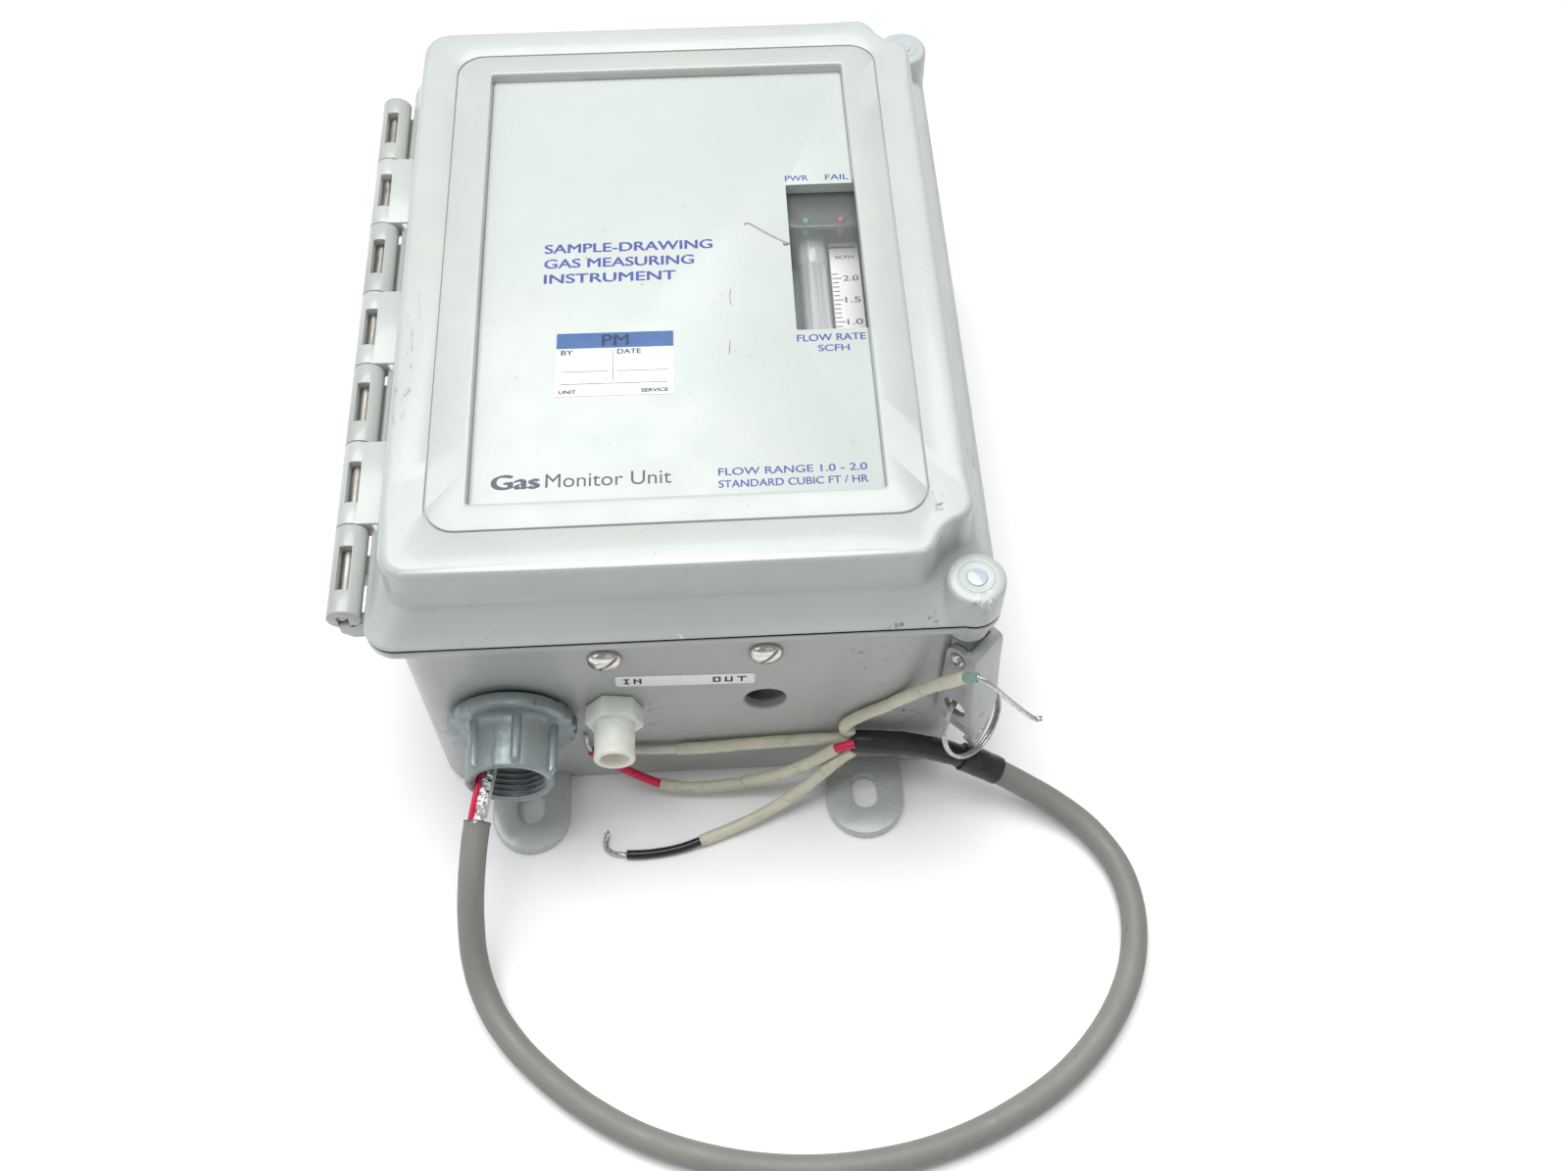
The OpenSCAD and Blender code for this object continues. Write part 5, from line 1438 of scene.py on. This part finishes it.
def build_scale():
    """Card beside the tube: a tick for every tenth, longer at each half."""
    card_mat = plain("scale_card_white", (0.88, 0.87, 0.85), 0.4, 0.06, 60, 0.1)
    card = piece("scale_card_plate", *block(48.4, 57.6, -50, 28.6, 90, 96.6), None, card_mat)
    soften(card, 0.25, 2)
    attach(card, "base")
    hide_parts("scale_card")
    ink = plain("scale_ink", (0.03, 0.03, 0.04), 0.5, 0.3, 300, 0.05)
    top_y, tenth, left, marks = 13.5, 1.77, 48.55, []
    for i in range(-28, 16):
        y = top_y + (i - 10) * tenth
        if -48 < y < 16:
            length = 2.0 if i % 5 else 2.9
            marks.append(block(left, left + length, y - 0.17, y + 0.17, CARD_TOP, CARD_TOP + 0.04))
    marks.append(block(48.5, 56.6, 26.0, 26.9, CARD_TOP, CARD_TOP + 0.05))
    piece("scale_ticks", *merge(*marks), "base", ink, 180)
    for label, y in (("2.0", top_y), ("1.5", 4.65), ("1.0", -4.2), ("0.5", -13.05), ("0", -21.9)):
        lettering("scale_figure_" + label.replace(".", "_"), label, 2.2, (52.0, y - 1.1, CARD_TOP), "base", ink,
                  4.7 if len(label) > 1 else None, 0.07)
    lettering("scale_caption", "SCFH", 1.35, (50.2, 21.6, CARD_TOP), "base", ink, 5.6, 0.05)


build_pane_and_lamps()
build_flow_meter()
build_scale()


# ---------------------------------------------------------------- inside the box

HOSE_IN = [(-22.7, -92.6, 48), (-22.7, -84, 48), (-20, -76, 48.6), (-12, -71, 50), (0, -70, 53),
           (14, -71.5, 57), (26, -75, 62), (35, -78.5, 65.5), (41, -80.5, 64.5), (43, -81, 58), (43, -81, 51.6)]
HOSE_OUT = [(56, -81, 51.6), (56, -81, 58), (58, -80, 66), (61.5, -76.5, 75), (64.6, -71, 82), (65.4, -64, 86),
            (64.6, -58, 87), (61.6, -55.6, 86), (58, -55.4, 85)]


def lead_route(i):
    a, b = ((-1.5, 1.5), (-1.5, -1.5), (1.5, -1.5), (1.5, 1.5))[i]
    x = -49 + i * 7.5
    return [(-58.6 + a, -118, 44.6 + b), (-56.6 + a, -112, 44.8 + b), (-55 + a, -103, 45 + b),
            (-54.5 + a, -94, 44.6 + b), (-56 + i * 3.6, -84, 43 + b * 0.8), ((-56 + i * 3.6 + x) / 2, -72, 42),
            (x, -62, 41.2), (x, -51, 41.2)]


def cad_material(node, mat):
    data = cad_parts[node].data
    data.materials.clear()
    data.materials.append(mat)


def build_inside():
    """Materials for the CAD nodes in the box, and smooth hoses and leads in place of theirs."""
    alloy = metal("chassis_aluminium", (0.66, 0.67, 0.68), 0.34, (0.45, 0.45, 0.45), 0.4, (6, 0.2, 1),
                  scale=200)
    nickel = metal("inner_nickel", (0.62, 0.60, 0.56), 0.26, (0.2, 0.17, 0.13), 0.4, scale=600)
    brass = metal("standoff_brass", (0.68, 0.50, 0.22), 0.3, (0.3, 0.2, 0.08), 0.35, scale=500)
    zinc = metal("locknut_zinc", (0.33, 0.36, 0.37), 0.45, (0.14, 0.15, 0.15), 0.5, scale=350)
    nylon = plain("locknut_nylon", (0.80, 0.79, 0.72), 0.4, 0.1, 200)
    board = Nodes("board_solder_mask", (0.02, 0.13, 0.055), 0.28, spec=0.5)
    tracks = board.cloud((240, 1, 0.3, (1, 0.12, 1)), 0.50, 0.53)
    mask = board.mix(tracks, (0.016, 0.11, 0.045), (0.035, 0.20, 0.085))
    pads = board.cloud((520, 0, 0.3), 0.70, 0.72)
    board.paint(board.mix(pads, mask, (0.55, 0.54, 0.50)))
    board.rough((200, 2), 0.2, 0.36)
    block_green = plain("terminal_green", (0.03, 0.24, 0.11), 0.4, 0.2, 200)
    chip = plain("component_black", (0.025, 0.025, 0.028), 0.42, 0.4, 250, dirt=(0.10, 0.10, 0.10))
    pump = plain("pump_black", (0.035, 0.037, 0.042), 0.45, 0.3, 160, dirt=(0.12, 0.12, 0.12))
    for nodes, mat in (("chassis_plate sensor_block", alloy),
                       ("chassis_screws foot_screws wall_nuts terminal_screws", nickel),
                       ("board_standoffs", brass), ("hub_locknut", zinc), ("inlet_locknut", nylon),
                       ("circuit_board", board.mat), ("terminal_block", block_green), ("board_parts", chip),
                       ("sample_pump", pump)):
        for node in nodes.split():
            cad_material(node, mat)
    silicone = plain("silicone_hose", (0.62, 0.65, 0.62), 0.3, 0.12, 90, 0.1, Transmission_Weight=0.3)
    for key, route in (("in", HOSE_IN), ("out", HOSE_OUT)):
        hose = tube_piece("hose_%s_silicone" % key, route, 6.35, silicone, steps=8)
        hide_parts("hose_" + key)
    leads = [tube_piece("inner_lead_%s" % key, lead_route(i), 2.35, mat, sides=12, steps=6)
             for i, (key, mat) in enumerate((("red", RED_PVC), ("black", BLACK_PVC), ("green", GREEN_PVC),
                                             ("natural", CLEAR_PVC)))]
    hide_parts("inner_leads")


build_inside()


# ---------------------------------------------------------------- floor and light

def build_stage():
    floor_mat = Nodes("white_table", (0.96, 0.96, 0.965), 0.45, spec=0.3)
    floor_mat.paint(floor_mat.layer((0.96, 0.96, 0.965), (0.94, 0.94, 0.955), (3, 2), 0.3, 0.7))
    size = 2600
    floor = piece("floor", *block(-size, size, -size, size, -30, -0.02), None, floor_mat.mat)
    world = bpy.data.worlds.new("studio")
    bpy.context.scene.world = world
    world.use_nodes = True
    world.node_tree.nodes["Background"].inputs[0].default_value = (0.97, 0.985, 1.0, 1)
    world.node_tree.nodes["Background"].inputs[1].default_value = 0.33
    for name, at, to, size, power, tint in (
            ("overhead", (-100, 200, 1300), (0, 0, 60), 1.1, 22, (1.0, 1.0, 1.0)),
            ("window_side", (-1100, -500, 800), (0, -60, 60), 0.8, 2.5, (0.96, 0.98, 1.0)),
            ("front_fill", (500, -1200, 700), (0, -60, 60), 1.0, 0.9, (1.0, 0.99, 0.97))):
        data = bpy.data.lights.new(name, "AREA")
        data.size = size
        data.energy = power
        data.color = tint
        lamp = add(name, data)
        lamp.location = Vector(at) * MM
        lamp.rotation_euler = (Vector(to) - Vector(at)).to_track_quat("-Z", "Y").to_euler()


build_stage()
